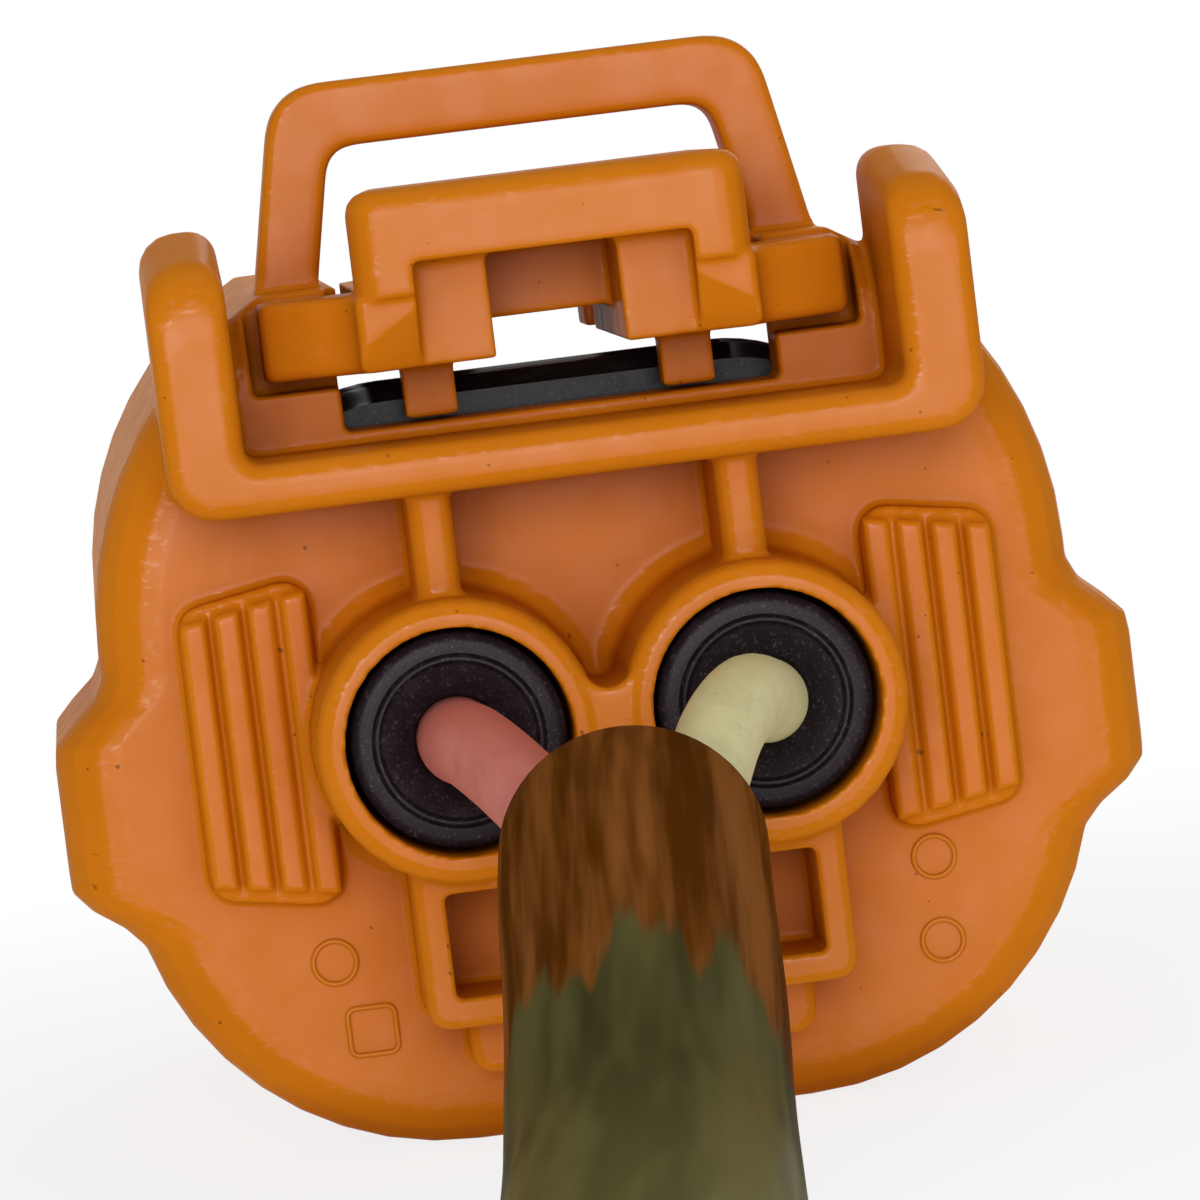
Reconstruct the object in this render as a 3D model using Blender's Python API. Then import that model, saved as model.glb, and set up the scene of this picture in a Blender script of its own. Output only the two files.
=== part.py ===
"""Sealed two-way plug connector with a short pigtail, at its real size in metres.

+X is to the right as seen from the wire side, +Y is the mating direction and +Z points up to the latch.
The plug stands on the flat underside of its hood, with the origin under the middle of its box. Places along
the plug are measured from the rims of the two wire collars, and heights from the axis of the two wires.
"""

from math import asin, atan2, cos, pi, radians, sin, sqrt, tan

import bmesh
import bpy
from mathutils import Vector

MM = 0.001

# The whole plug
LENGTH = 28.0 * MM
AXIS_HEIGHT = 9.8 * MM
PITCH = 7.0 * MM
CLEARANCE = 0.3 * MM
SEAL_CLEARANCE = 0.15 * MM
EMBED = 0.5 * MM
CUT_OVER = 1.0 * MM
WELD_DISTANCE = 0.001 * MM
SAME_PLACE = 0.01 * MM

# Hood and flange
BODY_HALF_WIDTH = 11.35 * MM
BODY_TOP = 10.35 * MM
LOWER_RADIUS = 7.4 * MM
UPPER_RADIUS = 8.9 * MM
UPPER_CENTRE = 2.5 * MM
EDGE_ROUND = 1.5 * MM
HOOD_WALL = 1.3 * MM
PLATE_THICKNESS = 2.0 * MM
COLLAR_LENGTH = 4.0 * MM

# Grip wings and ribbed pads
WING_REACH = 1.3 * MM
WING_TOP = 1.95 * MM
WING_BOTTOM = -4.3 * MM
WING_UPPER_BLEND = 1.6 * MM
WING_LOWER_BLEND = 1.5 * MM
WING_LENGTH = 9.0 * MM
WING_RUNOUT = 1.5 * MM
GRIP_INNER_X = 6.4 * MM
GRIP_CENTRE = 0.1 * MM
GRIP_INNER_HALF = 3.85 * MM
GRIP_TAPER = 0.5 * MM
GRIP_CORNER = 0.6 * MM
GRIP_PAD_HEIGHT = 0.45 * MM
GRIP_PITCH = 0.78 * MM
GRIP_RIB_WIDTH = 0.6 * MM
GRIP_RIB_HEIGHT = 0.25 * MM
GRIP_RIB_ROUND = 0.1 * MM
GRIP_RIBS = 4
GRIP_MARGIN = 0.06 * MM

# Wire collars
COLLAR_RADIUS = 3.24 * MM
COLLAR_BASE_RADIUS = 3.75 * MM
COLLAR_RIM_ROUND = 0.35 * MM
COLLAR_FOOT = 0.5 * MM
COLLAR_BORE = 2.6 * MM
COLLAR_BORE_LENGTH = 10.4 * MM
COLLAR_WEB_HALF = 0.78 * MM
COLLAR_WEB_SETBACK = 0.1 * MM
COLLAR_WEB_SINK = 0.05 * MM
RIB_WIDTH = 1.0 * MM
RIB_SETBACK = 0.9 * MM

# Tray behind the latch
TRAY_HALF_WIDTH = 9.3 * MM
TRAY_WALL = 1.8 * MM
TRAY_BOTTOM = 5.6 * MM
TRAY_FLOOR = 6.75 * MM
TRAY_TOP = 12.05 * MM
TRAY_WALL_FALL = 0.8 * MM
TRAY_CORNER = 1.1 * MM
TRAY_WALL_ROUND = 0.85 * MM
TRAY_INNER_ROUND = 0.6 * MM
TRAY_REAR_ROUND = 1.1 * MM
TRAY_EDGE_ROUND = 0.42 * MM
SILL = 7.05 * MM
WINDOW_HALF_WIDTH = 5.05 * MM
CHEEK_TOP = 8.1 * MM
SHOULDER_RECESS_LENGTH = 1.3 * MM
SLOT_HALF_WIDTH = 4.8 * MM

# Guard loop over the latch
LOOP_SETBACK = 7.6 * MM
LOOP_THICKNESS = 1.8 * MM
LOOP_BASE_HALF = 6.7 * MM
LOOP_TOP_HALF = 5.7 * MM
LOOP_TOP = 15.1 * MM
LOOP_BAR = 1.55 * MM
LOOP_LEG = 1.5 * MM
LOOP_CORNER = 1.3 * MM
LOOP_EDGE_ROUND = 0.4 * MM

# Raised frame under the collars
FRAME_HALF_WIDTH = 4.95 * MM
FRAME_TOP = -2.2 * MM
FRAME_BOTTOM = -6.6 * MM
FRAME_HEIGHT = 3.0 * MM
FRAME_WALL = 0.7 * MM
FRAME_CORNER = 0.5 * MM
POCKET_TOP = -3.5 * MM
POCKET_DEPTH = 2.6 * MM
POCKET_MIDDLE = 0.7 * MM
STEP_HALF_WIDTH = 4.0 * MM
STEP_BOTTOM = -7.9 * MM
STEP_HEIGHT = 1.6 * MM

# Tower that carries the terminals
TOWER_HALF_WIDTH = 7.0 * MM
TOWER_HALF_HEIGHT = 6.4 * MM
TOWER_RISE = 0.35 * MM
TOWER_CORNER = 3.0 * MM
TOWER_SETBACK = 3.5 * MM
CAVITY_HALF = 1.75 * MM
NOSE_STEP = 1.3 * MM
NOSE_LENGTH = 7.5 * MM

# Front retainer
RETAINER_FACE = 1.5 * MM
BLADE_HALF_WIDTH = 1.1 * MM
BLADE_HALF_HEIGHT = 0.5 * MM
RETAINER_EDGE_ROUND = 0.4 * MM

# Interface seal on the tower
RING_LENGTH = 5.0 * MM
RING_LIP = 1.0 * MM
RING_BODY = 0.65 * MM
RING_LIPS = 2

# Wire seals
SEAL_RADIUS = 2.45 * MM
SEAL_WAIST = 2.05 * MM
SEAL_RECESS = 0.45 * MM
SEAL_LENGTH = 6.4 * MM
SEAL_NECK_RADIUS = 1.55 * MM
SEAL_NECK_LENGTH = 2.6 * MM
SEAL_LIPS = 3
SEAL_MOUTH_RADIUS = 1.5 * MM
SEAL_MOUTH_DEPTH = 0.4 * MM

# Latch arm
LATCH_PAD_SETBACK = 1.3 * MM
LATCH_PAD_LENGTH = 5.0 * MM
LATCH_PAD_HALF = 4.6 * MM
LATCH_PAD_TAPER = 0.35 * MM
LATCH_PAD_TOP = 12.5 * MM
LATCH_PAD_BAR = 1.7 * MM
LATCH_OPENING_HALF = 3.2 * MM
LATCH_RAIL_INNER = 1.5 * MM
LATCH_RAIL_SETBACK = 0.9 * MM
LATCH_NOTCH_LENGTH = 4.0 * MM
LATCH_BOTTOM = 8.4 * MM
LATCH_TOP = 10.2 * MM
LATCH_SHOULDER_HALF = 6.75 * MM
LATCH_SHOULDER_SWEEP = 1.7 * MM
LATCH_BEAM_HALF = 4.4 * MM
LATCH_BEAM_LENGTH = 15.5 * MM
LATCH_NOSE_HALF = 3.4 * MM
LATCH_NOSE_LENGTH = 2.2 * MM
LATCH_CATCH_HALF = 2.6 * MM
LATCH_CATCH_LENGTH = 3.0 * MM
LATCH_GROOVE_DEPTH = 0.8 * MM
LATCH_ARM_SETBACK = 0.2 * MM
LATCH_RELIEF_WIDTH = 2.4 * MM
LATCH_RELIEF_DEPTH = 0.65 * MM
LATCH_RELIEF_HEIGHT = 1.4 * MM
LATCH_LEG_INNER = 2.4 * MM
LATCH_LEG_WIDTH = 1.2 * MM
LATCH_LEG_THICKNESS = 1.1 * MM
LATCH_EDGE_ROUND = 0.3 * MM
PAD_EDGE_ROUND = 0.5 * MM
PAD_CORNER = 0.7 * MM

# Terminals and what is crimped in them
SHEET = 0.3 * MM
BOX_HALF_WIDTH = 1.4 * MM
BOX_HALF_HEIGHT = 1.2 * MM
TERMINAL_NECK = 1.65 * MM
BOX_SETBACK = 0.5 * MM
STRIP_HALF_WIDTH = 0.8 * MM
STRIP_THICKNESS = 0.24 * MM
STRIP_SINK = 0.03 * MM
GRIP_BARREL_LENGTH = 2.0 * MM
CORE_BARREL_LENGTH = 3.0 * MM
CORE_BARREL_GAP = 1.6 * MM
CORE_RADIUS = 0.65 * MM
BARREL_SEAM = radians(36)
CORE_OVERHANG = 0.5 * MM
LEAF_HALF_WIDTH = 0.8 * MM
LEAF_THICKNESS = 0.2 * MM
LEAF_RISE = 0.65 * MM
LEAF_INSET = 0.7 * MM

# Wires and sleeve
WIRE_RADIUS = 0.95 * MM
SLEEVE_RADIUS = 2.9 * MM
SLEEVE_WALL = 0.3 * MM
WIRE_SPREAD = 1.15 * MM
CORD_STEP = 3.5 * MM
TAIL_LENGTH = 8.0 * MM

# Middle of the sleeve from the collar rims and the wire axis, in millimetres
SLEEVE_ROUTE = [
    (-0.5, -8.0, -2.1), (-0.8, -11.0, -2.8), (-1.15, -15.0, -4.55), (-1.6, -19.0, -6.1),
    (-2.0, -23.5, -6.72), (-2.5, -29.0, -6.8), (-3.4, -37.0, -6.8), (-5.2, -46.0, -6.8),
    (-8.8, -55.0, -6.8), (-14.2, -62.5, -6.8), (-21.0, -68.0, -6.8),
]
# Free stretch of each wire between its seal and the sleeve, then past the sleeve's far end
LEFT_LEAD = [(-3.5, -0.6, 0.05), (-3.3, -2.4, 0.05), (-2.7, -4.4, -0.5), (-2.0, -6.4, -1.35)]
RIGHT_LEAD = [(3.35, -0.6, 0.15), (2.8, -2.4, 0.4), (2.0, -4.4, -0.05), (1.25, -6.4, -1.1)]
LEFT_END = [(-26.6, -70.9, -7.7), (-30.2, -72.2, -8.5), (-33.2, -73.0, -8.75), (-36.2, -73.6, -8.75)]
RIGHT_END = [(-24.2, -73.2, -7.7), (-26.9, -76.0, -8.5), (-29.0, -78.5, -8.75), (-31.0, -81.0, -8.75)]

# Facets
ARC_STEPS = 9
SIDE_STEPS = 14
CORNER_STEPS = 4
TURN_STEPS = 32
SHARP = radians(30)

# Places along the plug
REAR_Y = -LENGTH / 2
FRONT_Y = LENGTH / 2
FLANGE_Y = REAR_Y + COLLAR_LENGTH
PLATE_FRONT_Y = FLANGE_Y + PLATE_THICKNESS
RECESS_END_Y = FLANGE_Y + SHOULDER_RECESS_LENGTH
NOSE_FRONT_Y = FRONT_Y - TOWER_SETBACK
NOSE_STEP_Y = NOSE_FRONT_Y - NOSE_LENGTH
BORE_END_Y = REAR_Y + COLLAR_BORE_LENGTH
SEAL_REAR_Y = REAR_Y + SEAL_RECESS
SEAL_FRONT_Y = SEAL_REAR_Y + SEAL_LENGTH
NECK_FRONT_Y = SEAL_FRONT_Y + SEAL_NECK_LENGTH
WIRE_END_Y = NECK_FRONT_Y + CLEARANCE
CORE_BARREL_Y = WIRE_END_Y + CORE_BARREL_GAP
BOX_FRONT_Y = NOSE_FRONT_Y - BOX_SETBACK
CORE_BARREL_END_Y = CORE_BARREL_Y + CORE_BARREL_LENGTH
BOX_REAR_Y = CORE_BARREL_END_Y + TERMINAL_NECK
LATCH_PAD_Y = REAR_Y + LATCH_PAD_SETBACK
LATCH_FRONT_Y = LATCH_PAD_Y + LATCH_BEAM_LENGTH
LATCH_PIVOT_Y = FLANGE_Y + PLATE_THICKNESS / 2
LATCH_PIVOT = SILL + CLEARANCE
GRIP_WIDTH = GRIP_PITCH * (GRIP_RIBS - 1) + GRIP_RIB_WIDTH + 2 * GRIP_MARGIN

COLOURS = {
    "orange_plastic": ((0.60, 0.17, 0.010), 0.35, 0.0),
    "seal_rubber": ((0.030, 0.022, 0.030), 0.55, 0.0),
    "ring_rubber": ((0.010, 0.008, 0.008), 0.45, 0.0),
    "retainer_plastic": ((0.55, 0.53, 0.47), 0.45, 0.0),
    "tinned_brass": ((0.62, 0.58, 0.50), 0.30, 1.0),
    "spring_steel": ((0.45, 0.45, 0.46), 0.28, 1.0),
    "bare_copper": ((0.72, 0.34, 0.17), 0.35, 1.0),
    "pink_insulation": ((0.55, 0.15, 0.10), 0.45, 0.0),
    "cream_insulation": ((0.65, 0.57, 0.32), 0.45, 0.0),
    "sleeve_vinyl": ((0.050, 0.045, 0.015), 0.20, 0.0),
}


def clear_scene():
    for obj in list(bpy.data.objects):
        bpy.data.objects.remove(obj)


def material(name):
    """The plain material of that name, made once."""
    if name in bpy.data.materials:
        return bpy.data.materials[name]
    colour, roughness, metallic = COLOURS[name]
    made = bpy.data.materials.new(name)
    made.use_nodes = True
    shader = made.node_tree.nodes["Principled BSDF"]
    shader.inputs["Base Color"].default_value = (*colour, 1.0)
    shader.inputs["Roughness"].default_value = roughness
    shader.inputs["Metallic"].default_value = metallic
    return made


def from_bmesh(name, bm):
    """A new object that holds the mesh, with its faces turned outwards."""
    bmesh.ops.recalc_face_normals(bm, faces=bm.faces)
    mesh = bpy.data.meshes.new(name)
    bm.to_mesh(mesh)
    bm.free()
    obj = bpy.data.objects.new(name, mesh)
    bpy.context.collection.objects.link(obj)
    return obj


def dress(obj, finish):
    """Gives a finished sub-part its material and smooth shading."""
    obj.data.materials.clear()
    obj.data.materials.append(material(finish))
    if obj.type == "MESH":
        obj.data.shade_smooth()
        obj.data.set_sharp_from_angle(angle=SHARP)
    return obj


def rounded_outline(corners):
    """A closed outline from (a, b, radius) corners, with an arc at each corner that has a radius."""
    points = []
    for i, (a, b, radius) in enumerate(corners):
        here = Vector((a, b))
        if radius == 0:
            points.append(here)
            continue
        before = (Vector(corners[i - 1][:2]) - here).normalized()
        after = (Vector(corners[(i + 1) % len(corners)][:2]) - here).normalized()
        half = before.angle(after) / 2
        centre = here + (before + after).normalized() * (radius / sin(half))
        start = here + before * (radius / tan(half)) - centre
        turning = before.x * after.y - before.y * after.x
        sweep = (pi - 2 * half) * (-1 if turning > 0 else 1)
        for k in range(CORNER_STEPS + 1):
            angle = sweep * k / CORNER_STEPS
            points.append(centre + Vector((
                start.x * cos(angle) - start.y * sin(angle), start.x * sin(angle) + start.y * cos(angle))))
    return [tuple(p) for p in points]


def rounded_rect(half_width, half_height, radius):
    return rounded_outline([
        (half_width, -half_height, radius), (half_width, half_height, radius),
        (-half_width, half_height, radius), (-half_width, -half_height, radius)])


def circle(radius, steps=TURN_STEPS):
    return [(radius * cos(2 * pi * k / steps), radius * sin(2 * pi * k / steps)) for k in range(steps)]


def shifted(outline, a, b):
    return [(x + a, z + b) for x, z in outline]


def prism(name, outline, along, start, end):
    """A closed prism: an outline in the two other axes, carried along one axis."""
    place = {
        "X": lambda a, b, c: (c, a, b),
        "Y": lambda a, b, c: (a, c, b),
        "Z": lambda a, b, c: (a, b, c),
    }[along]
    bm = bmesh.new()
    first, last = ([bm.verts.new(place(a, b, c)) for a, b in outline] for c in (start, end))
    bm.faces.new(first)
    bm.faces.new(reversed(last))
    for k in range(len(outline)):
        bm.faces.new((first[k - 1], first[k], last[k], last[k - 1]))
    return from_bmesh(name, bm)


def box(name, x, y, z):
    """A box from its low and high ends on each axis."""
    outline = [(x[0], z[0]), (x[1], z[0]), (x[1], z[1]), (x[0], z[1])]
    return prism(name, outline, "Y", *y)


def ring(name, outline_at, profile):
    """A closed ring along Y: each (offset, y) of the profile is one loop of the outline."""
    bm = bmesh.new()
    loops = [[bm.verts.new((x, y, z)) for x, z in outline_at(offset)] for offset, y in profile]
    for this, following in zip(loops, loops[1:] + loops[:1]):
        for k in range(len(this)):
            bm.faces.new((this[k - 1], this[k], following[k], following[k - 1]))
    return from_bmesh(name, bm)


def loft(name, sections):
    """A closed solid through (y, outline) sections that all have as many points."""
    bm = bmesh.new()
    loops = [[bm.verts.new((x, y, z)) for x, z in outline] for y, outline in sections]
    for this, following in zip(loops, loops[1:]):
        for k in range(len(this)):
            bm.faces.new((this[k - 1], this[k], following[k], following[k - 1]))
    bm.faces.new(loops[0])
    bm.faces.new(loops[-1])
    return from_bmesh(name, bm)


def round_edges(obj, width, steps, where=None):
    """Rounds the sharp edges whose two ends both pass the test."""
    bm = bmesh.new()
    bm.from_mesh(obj.data)
    edges = [
        e for e in bm.edges
        if e.calc_face_angle(0) > SHARP and (where is None or all(where(v.co) for v in e.verts))]
    bmesh.ops.bevel(
        bm, geom=edges, offset=width, segments=steps, profile=0.5, affect="EDGES", clamp_overlap=True)
    bm.to_mesh(obj.data)
    bm.free()
    return obj


def near(value, target):
    return abs(value - target) < SAME_PLACE


def weld(mesh):
    """Merges the points that a cut leaves on top of each other."""
    bm = bmesh.new()
    bm.from_mesh(mesh)
    bmesh.ops.remove_doubles(bm, verts=bm.verts, dist=WELD_DISTANCE)
    bmesh.ops.dissolve_degenerate(bm, edges=bm.edges, dist=WELD_DISTANCE)
    bm.to_mesh(mesh)
    bm.free()
    return mesh


def combine(obj, others, operation):
    """Joins or cuts the object with the others, which are used up."""
    for other in others:
        tool = obj.modifiers.new(operation.title(), "BOOLEAN")
        tool.operation = operation
        tool.object = other
        tool.solver = "EXACT"
        bpy.context.view_layer.update()
        shaped = bpy.data.meshes.new_from_object(
            obj.evaluated_get(bpy.context.evaluated_depsgraph_get()))
        obj.modifiers.clear()
        obj.data = weld(shaped)
        bpy.data.objects.remove(other)
    return obj


def axis_z(height):
    """The height above the floor of a place measured from the wire axis."""
    return AXIS_HEIGHT + height


def sides():
    """The name and the sign of X of the left and the right line of parts."""
    return (("left", -1), ("right", 1))


def wing_swell(height):
    """How far a wing has swollen at a height above the wire axis, from 0 to 1."""
    up = min(1, max(0, (height - WING_BOTTOM) / WING_LOWER_BLEND))
    down = min(1, max(0, (WING_TOP - height) / WING_UPPER_BLEND))
    return (3 - 2 * up) * up * up * (3 - 2 * down) * down * down


def body_side(height, inset):
    """Half the hood's width at a height above the wire axis: a low arc, a flat and a high arc."""
    below = min(0, axis_z(height) - LOWER_RADIUS)
    above = max(0, height - UPPER_CENTRE)
    if below < 0:
        return BODY_HALF_WIDTH - LOWER_RADIUS + sqrt(max(0, (LOWER_RADIUS - inset) ** 2 - below ** 2))
    return BODY_HALF_WIDTH - UPPER_RADIUS + sqrt((UPPER_RADIUS - inset) ** 2 - above ** 2)


def body_outline(inset, wings=0):
    """The hood's section: flat below and above, round at the sides, with a share of the grip wings."""
    low_angle = asin((LOWER_RADIUS - axis_z(WING_BOTTOM)) / (LOWER_RADIUS - inset))
    high_angle = asin((BODY_TOP - inset - UPPER_CENTRE) / (UPPER_RADIUS - inset))
    heights = []
    for k in range(ARC_STEPS):
        angle = pi / 2 + (low_angle - pi / 2) * k / ARC_STEPS
        heights.append(LOWER_RADIUS - AXIS_HEIGHT - (LOWER_RADIUS - inset) * sin(angle))
    for k in range(SIDE_STEPS):
        heights.append(WING_BOTTOM + (UPPER_CENTRE - WING_BOTTOM) * k / SIDE_STEPS)
    for k in range(ARC_STEPS + 1):
        heights.append(UPPER_CENTRE + (UPPER_RADIUS - inset) * sin(high_angle * k / ARC_STEPS))
    half = [(body_side(h, inset) + WING_REACH * wings * wing_swell(h), axis_z(h)) for h in heights]
    return half + [(-x, z) for x, z in reversed(half)]


def tower_outline(offset):
    """The section of the terminal tower, grown by an offset."""
    outline = rounded_rect(TOWER_HALF_WIDTH + offset, TOWER_HALF_HEIGHT + offset, TOWER_CORNER + offset)
    return shifted(outline, 0, axis_z(TOWER_RISE))


def hood():
    """The flange with its rounded rear edge and its wings, and the hood that opens to the front."""
    stations = []
    for k in range(CORNER_STEPS + 1):
        angle = pi / 2 * k / CORNER_STEPS
        stations.append((EDGE_ROUND * (1 - sin(angle)), 1, FLANGE_Y + EDGE_ROUND * (1 - cos(angle))))
    wing_end = FLANGE_Y + WING_LENGTH
    stations += [(0, 1, wing_end), (0, 0, wing_end + WING_RUNOUT), (0, 0, FRONT_Y)]
    shell = loft("housing", [(y, body_outline(inset, wings)) for inset, wings, y in stations])
    inside = prism("cavity", body_outline(HOOD_WALL), "Y", PLATE_FRONT_Y, FRONT_Y + CUT_OVER)
    return combine(shell, [inside], "DIFFERENCE")


def grip_plan(sign, start, width, trim):
    """A stretch of the grip pad seen from the wire side: shorter towards the wing."""
    def half(across):
        return GRIP_INNER_HALF - GRIP_TAPER * across / GRIP_WIDTH - trim

    corners = [
        (start, -half(start)), (start + width, -half(start + width)),
        (start + width, half(start + width)), (start, half(start))]
    return [(sign * (GRIP_INNER_X + across), axis_z(GRIP_CENTRE + height)) for across, height in corners]


def grip_pad(sign):
    """One finger pad on the flange: a low plate that carries upright ribs."""
    top = FLANGE_Y - GRIP_PAD_HEIGHT
    plan = [(x, z, GRIP_CORNER) for x, z in grip_plan(sign, 0, GRIP_WIDTH, 0)]
    pad = prism("pad", rounded_outline(plan), "Y", top, FLANGE_Y + EMBED)
    for k in range(GRIP_RIBS):
        plan = grip_plan(sign, GRIP_MARGIN + GRIP_PITCH * k, GRIP_RIB_WIDTH, GRIP_CORNER / 2)
        rib = prism("rib", plan, "Y", top - GRIP_RIB_HEIGHT, top + GRIP_PAD_HEIGHT / 2)
        round_edges(rib, GRIP_RIB_ROUND, 2, lambda p: near(p.y, top - GRIP_RIB_HEIGHT))
        combine(pad, [rib], "UNION")
    return pad


def collar(sign):
    """The round collar that holds one wire seal, drafted and filleted at its foot."""
    profile = [
        (COLLAR_BORE - EMBED, PLATE_FRONT_Y - EMBED),
        (COLLAR_BASE_RADIUS, PLATE_FRONT_Y - EMBED),
        (COLLAR_BASE_RADIUS, FLANGE_Y),
        (COLLAR_BASE_RADIUS - COLLAR_FOOT * 0.7, FLANGE_Y - COLLAR_FOOT * 0.3),
        (COLLAR_BASE_RADIUS - COLLAR_FOOT * 0.9, FLANGE_Y - COLLAR_FOOT),
        (COLLAR_RADIUS, REAR_Y + COLLAR_RIM_ROUND),
        (COLLAR_RADIUS - COLLAR_RIM_ROUND * 0.3, REAR_Y + COLLAR_RIM_ROUND * 0.3),
        (COLLAR_RADIUS - COLLAR_RIM_ROUND, REAR_Y),
        (COLLAR_BORE - EMBED, REAR_Y),
    ]
    centre = sign * PITCH / 2
    return ring("collar", lambda r: shifted(circle(r), centre, AXIS_HEIGHT), profile)


def collar_web():
    """The web between the two collars, with a round valley above and below it."""
    half_pitch = PITCH / 2
    reach = COLLAR_RADIUS - COLLAR_WEB_SINK
    valley = (half_pitch ** 2 + COLLAR_WEB_HALF ** 2 - reach ** 2) / (2 * (reach - COLLAR_WEB_HALF))
    height = COLLAR_WEB_HALF + valley
    first = atan2(-height, half_pitch)
    upper = []
    for k in range(2 * CORNER_STEPS + 1):
        angle = first + (-pi - 2 * first) * k / (2 * CORNER_STEPS)
        upper.append((valley * cos(angle), height + valley * sin(angle)))
    outline = upper + [(x, -z) for x, z in reversed(upper)]
    return prism("web", shifted(outline, 0, AXIS_HEIGHT), "Y", REAR_Y + COLLAR_WEB_SETBACK, FLANGE_Y + EMBED)


def tray_ribs(sign):
    """The upright rib between a collar and the floor of the tray."""
    x = sign * PITCH / 2
    rib = box(
        "rib", (x - RIB_WIDTH / 2, x + RIB_WIDTH / 2), (REAR_Y + RIB_SETBACK, FLANGE_Y + EMBED),
        (axis_z((COLLAR_BORE + COLLAR_RADIUS) / 2), axis_z((TRAY_BOTTOM + TRAY_FLOOR) / 2)))
    return round_edges(rib, RIB_WIDTH * 0.3, 2, lambda p: near(p.y, REAR_Y + RIB_SETBACK))


def tray_outline(inset, drop):
    """The tray's section, shrunk by an inset and with its two walls lowered by a drop."""
    outer, inner = TRAY_HALF_WIDTH - inset, TRAY_HALF_WIDTH - TRAY_WALL + inset
    top = axis_z(TRAY_TOP - drop) - inset
    half = [
        (outer, axis_z(TRAY_BOTTOM) + inset, TRAY_CORNER - inset), (outer, top, TRAY_WALL_ROUND - inset),
        (inner, top, TRAY_INNER_ROUND - inset), (inner, axis_z(TRAY_FLOOR) - inset, TRAY_CORNER / 3 + inset)]
    return rounded_outline(half + [(-x, z, r) for x, z, r in reversed(half)])


def tray():
    """The open tray behind the latch: a floor with a round-topped guard wall on each side."""
    sections = []
    for k in range(CORNER_STEPS + 1):
        angle = pi / 2 * k / CORNER_STEPS
        sections.append((TRAY_EDGE_ROUND * (1 - sin(angle)), TRAY_EDGE_ROUND * (1 - cos(angle))))
    for k in range(1, CORNER_STEPS + 1):
        sections.append((0, TRAY_EDGE_ROUND + (TRAY_REAR_ROUND - TRAY_EDGE_ROUND) * k / CORNER_STEPS))
    sections += [(0, COLLAR_LENGTH), (0, COLLAR_LENGTH + PLATE_THICKNESS - EMBED)]
    lofted = []
    for inset, depth in sections:
        short = max(0, TRAY_REAR_ROUND - depth)
        drop = TRAY_REAR_ROUND - sqrt(TRAY_REAR_ROUND ** 2 - short ** 2)
        drop += TRAY_WALL_FALL * max(0, 1 - depth / COLLAR_LENGTH)
        lofted.append((REAR_Y + depth, tray_outline(inset, drop)))
    return loft("tray", lofted)


def loop():
    """The guard loop that stands on the hood across the latch slot."""
    foot = axis_z(BODY_TOP - HOOD_WALL / 2)
    root = BODY_TOP - CLEARANCE
    lean = (LOOP_BASE_HALF - LOOP_TOP_HALF) / (LOOP_TOP - root)
    inner_top = LOOP_TOP - LOOP_BAR
    inner_half = LOOP_BASE_HALF - lean * (inner_top - root) - LOOP_LEG
    half = [
        (LOOP_BASE_HALF, foot, 0), (LOOP_BASE_HALF, axis_z(root), 0),
        (LOOP_TOP_HALF, axis_z(LOOP_TOP), LOOP_CORNER)]
    inside = [
        (-inner_half, axis_z(inner_top), LOOP_CORNER / 2), (-LOOP_BASE_HALF + LOOP_LEG, axis_z(root), 0),
        (-LOOP_BASE_HALF + LOOP_LEG, foot, 0)]
    corners = half + [(-x, z, r) for x, z, r in reversed(half)] + list(reversed(inside))
    corners += [(-x, z, r) for x, z, r in inside]
    start = REAR_Y + LOOP_SETBACK
    solid = prism("loop", rounded_outline(corners), "Y", start, start + LOOP_THICKNESS)
    return round_edges(solid, LOOP_EDGE_ROUND, 2, lambda p: p.z > axis_z(root) - CLEARANCE / 2)


def lower_frame():
    """The raised frame with its two pockets, and the low step under it."""
    frame = prism("frame", shifted(rounded_rect(
        FRAME_HALF_WIDTH, (FRAME_TOP - FRAME_BOTTOM) / 2, FRAME_CORNER),
        0, axis_z((FRAME_TOP + FRAME_BOTTOM) / 2)), "Y", FLANGE_Y - FRAME_HEIGHT, FLANGE_Y + EMBED)
    round_edges(frame, FRAME_CORNER / 2, 2, lambda p: near(p.y, FLANGE_Y - FRAME_HEIGHT))
    step = prism("step", shifted(rounded_rect(
        STEP_HALF_WIDTH, (FRAME_TOP - STEP_BOTTOM) / 2, FRAME_CORNER),
        0, axis_z((FRAME_TOP + STEP_BOTTOM) / 2)), "Y", FLANGE_Y - STEP_HEIGHT, FLANGE_Y + EMBED)
    round_edges(step, FRAME_CORNER / 2, 2, lambda p: near(p.y, FLANGE_Y - STEP_HEIGHT))
    return [frame, step]


def frame_pocket(sign):
    """One pocket in the raised frame, open to the wire side."""
    ends = sorted((sign * POCKET_MIDDLE / 2, sign * (FRAME_HALF_WIDTH - FRAME_WALL)))
    rear = FLANGE_Y - FRAME_HEIGHT
    return box(
        "pocket", ends, (rear - CUT_OVER, rear + POCKET_DEPTH),
        (axis_z(FRAME_BOTTOM + FRAME_WALL), axis_z(POCKET_TOP)))


def tower():
    """The tower inside the hood, with a slimmer nose that the front retainer covers."""
    root = prism("tower", tower_outline(0), "Y", PLATE_FRONT_Y - EMBED, NOSE_STEP_Y)
    nose = prism("nose", tower_outline(-NOSE_STEP), "Y", NOSE_STEP_Y - EMBED, NOSE_FRONT_Y)
    return [root, nose]


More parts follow.
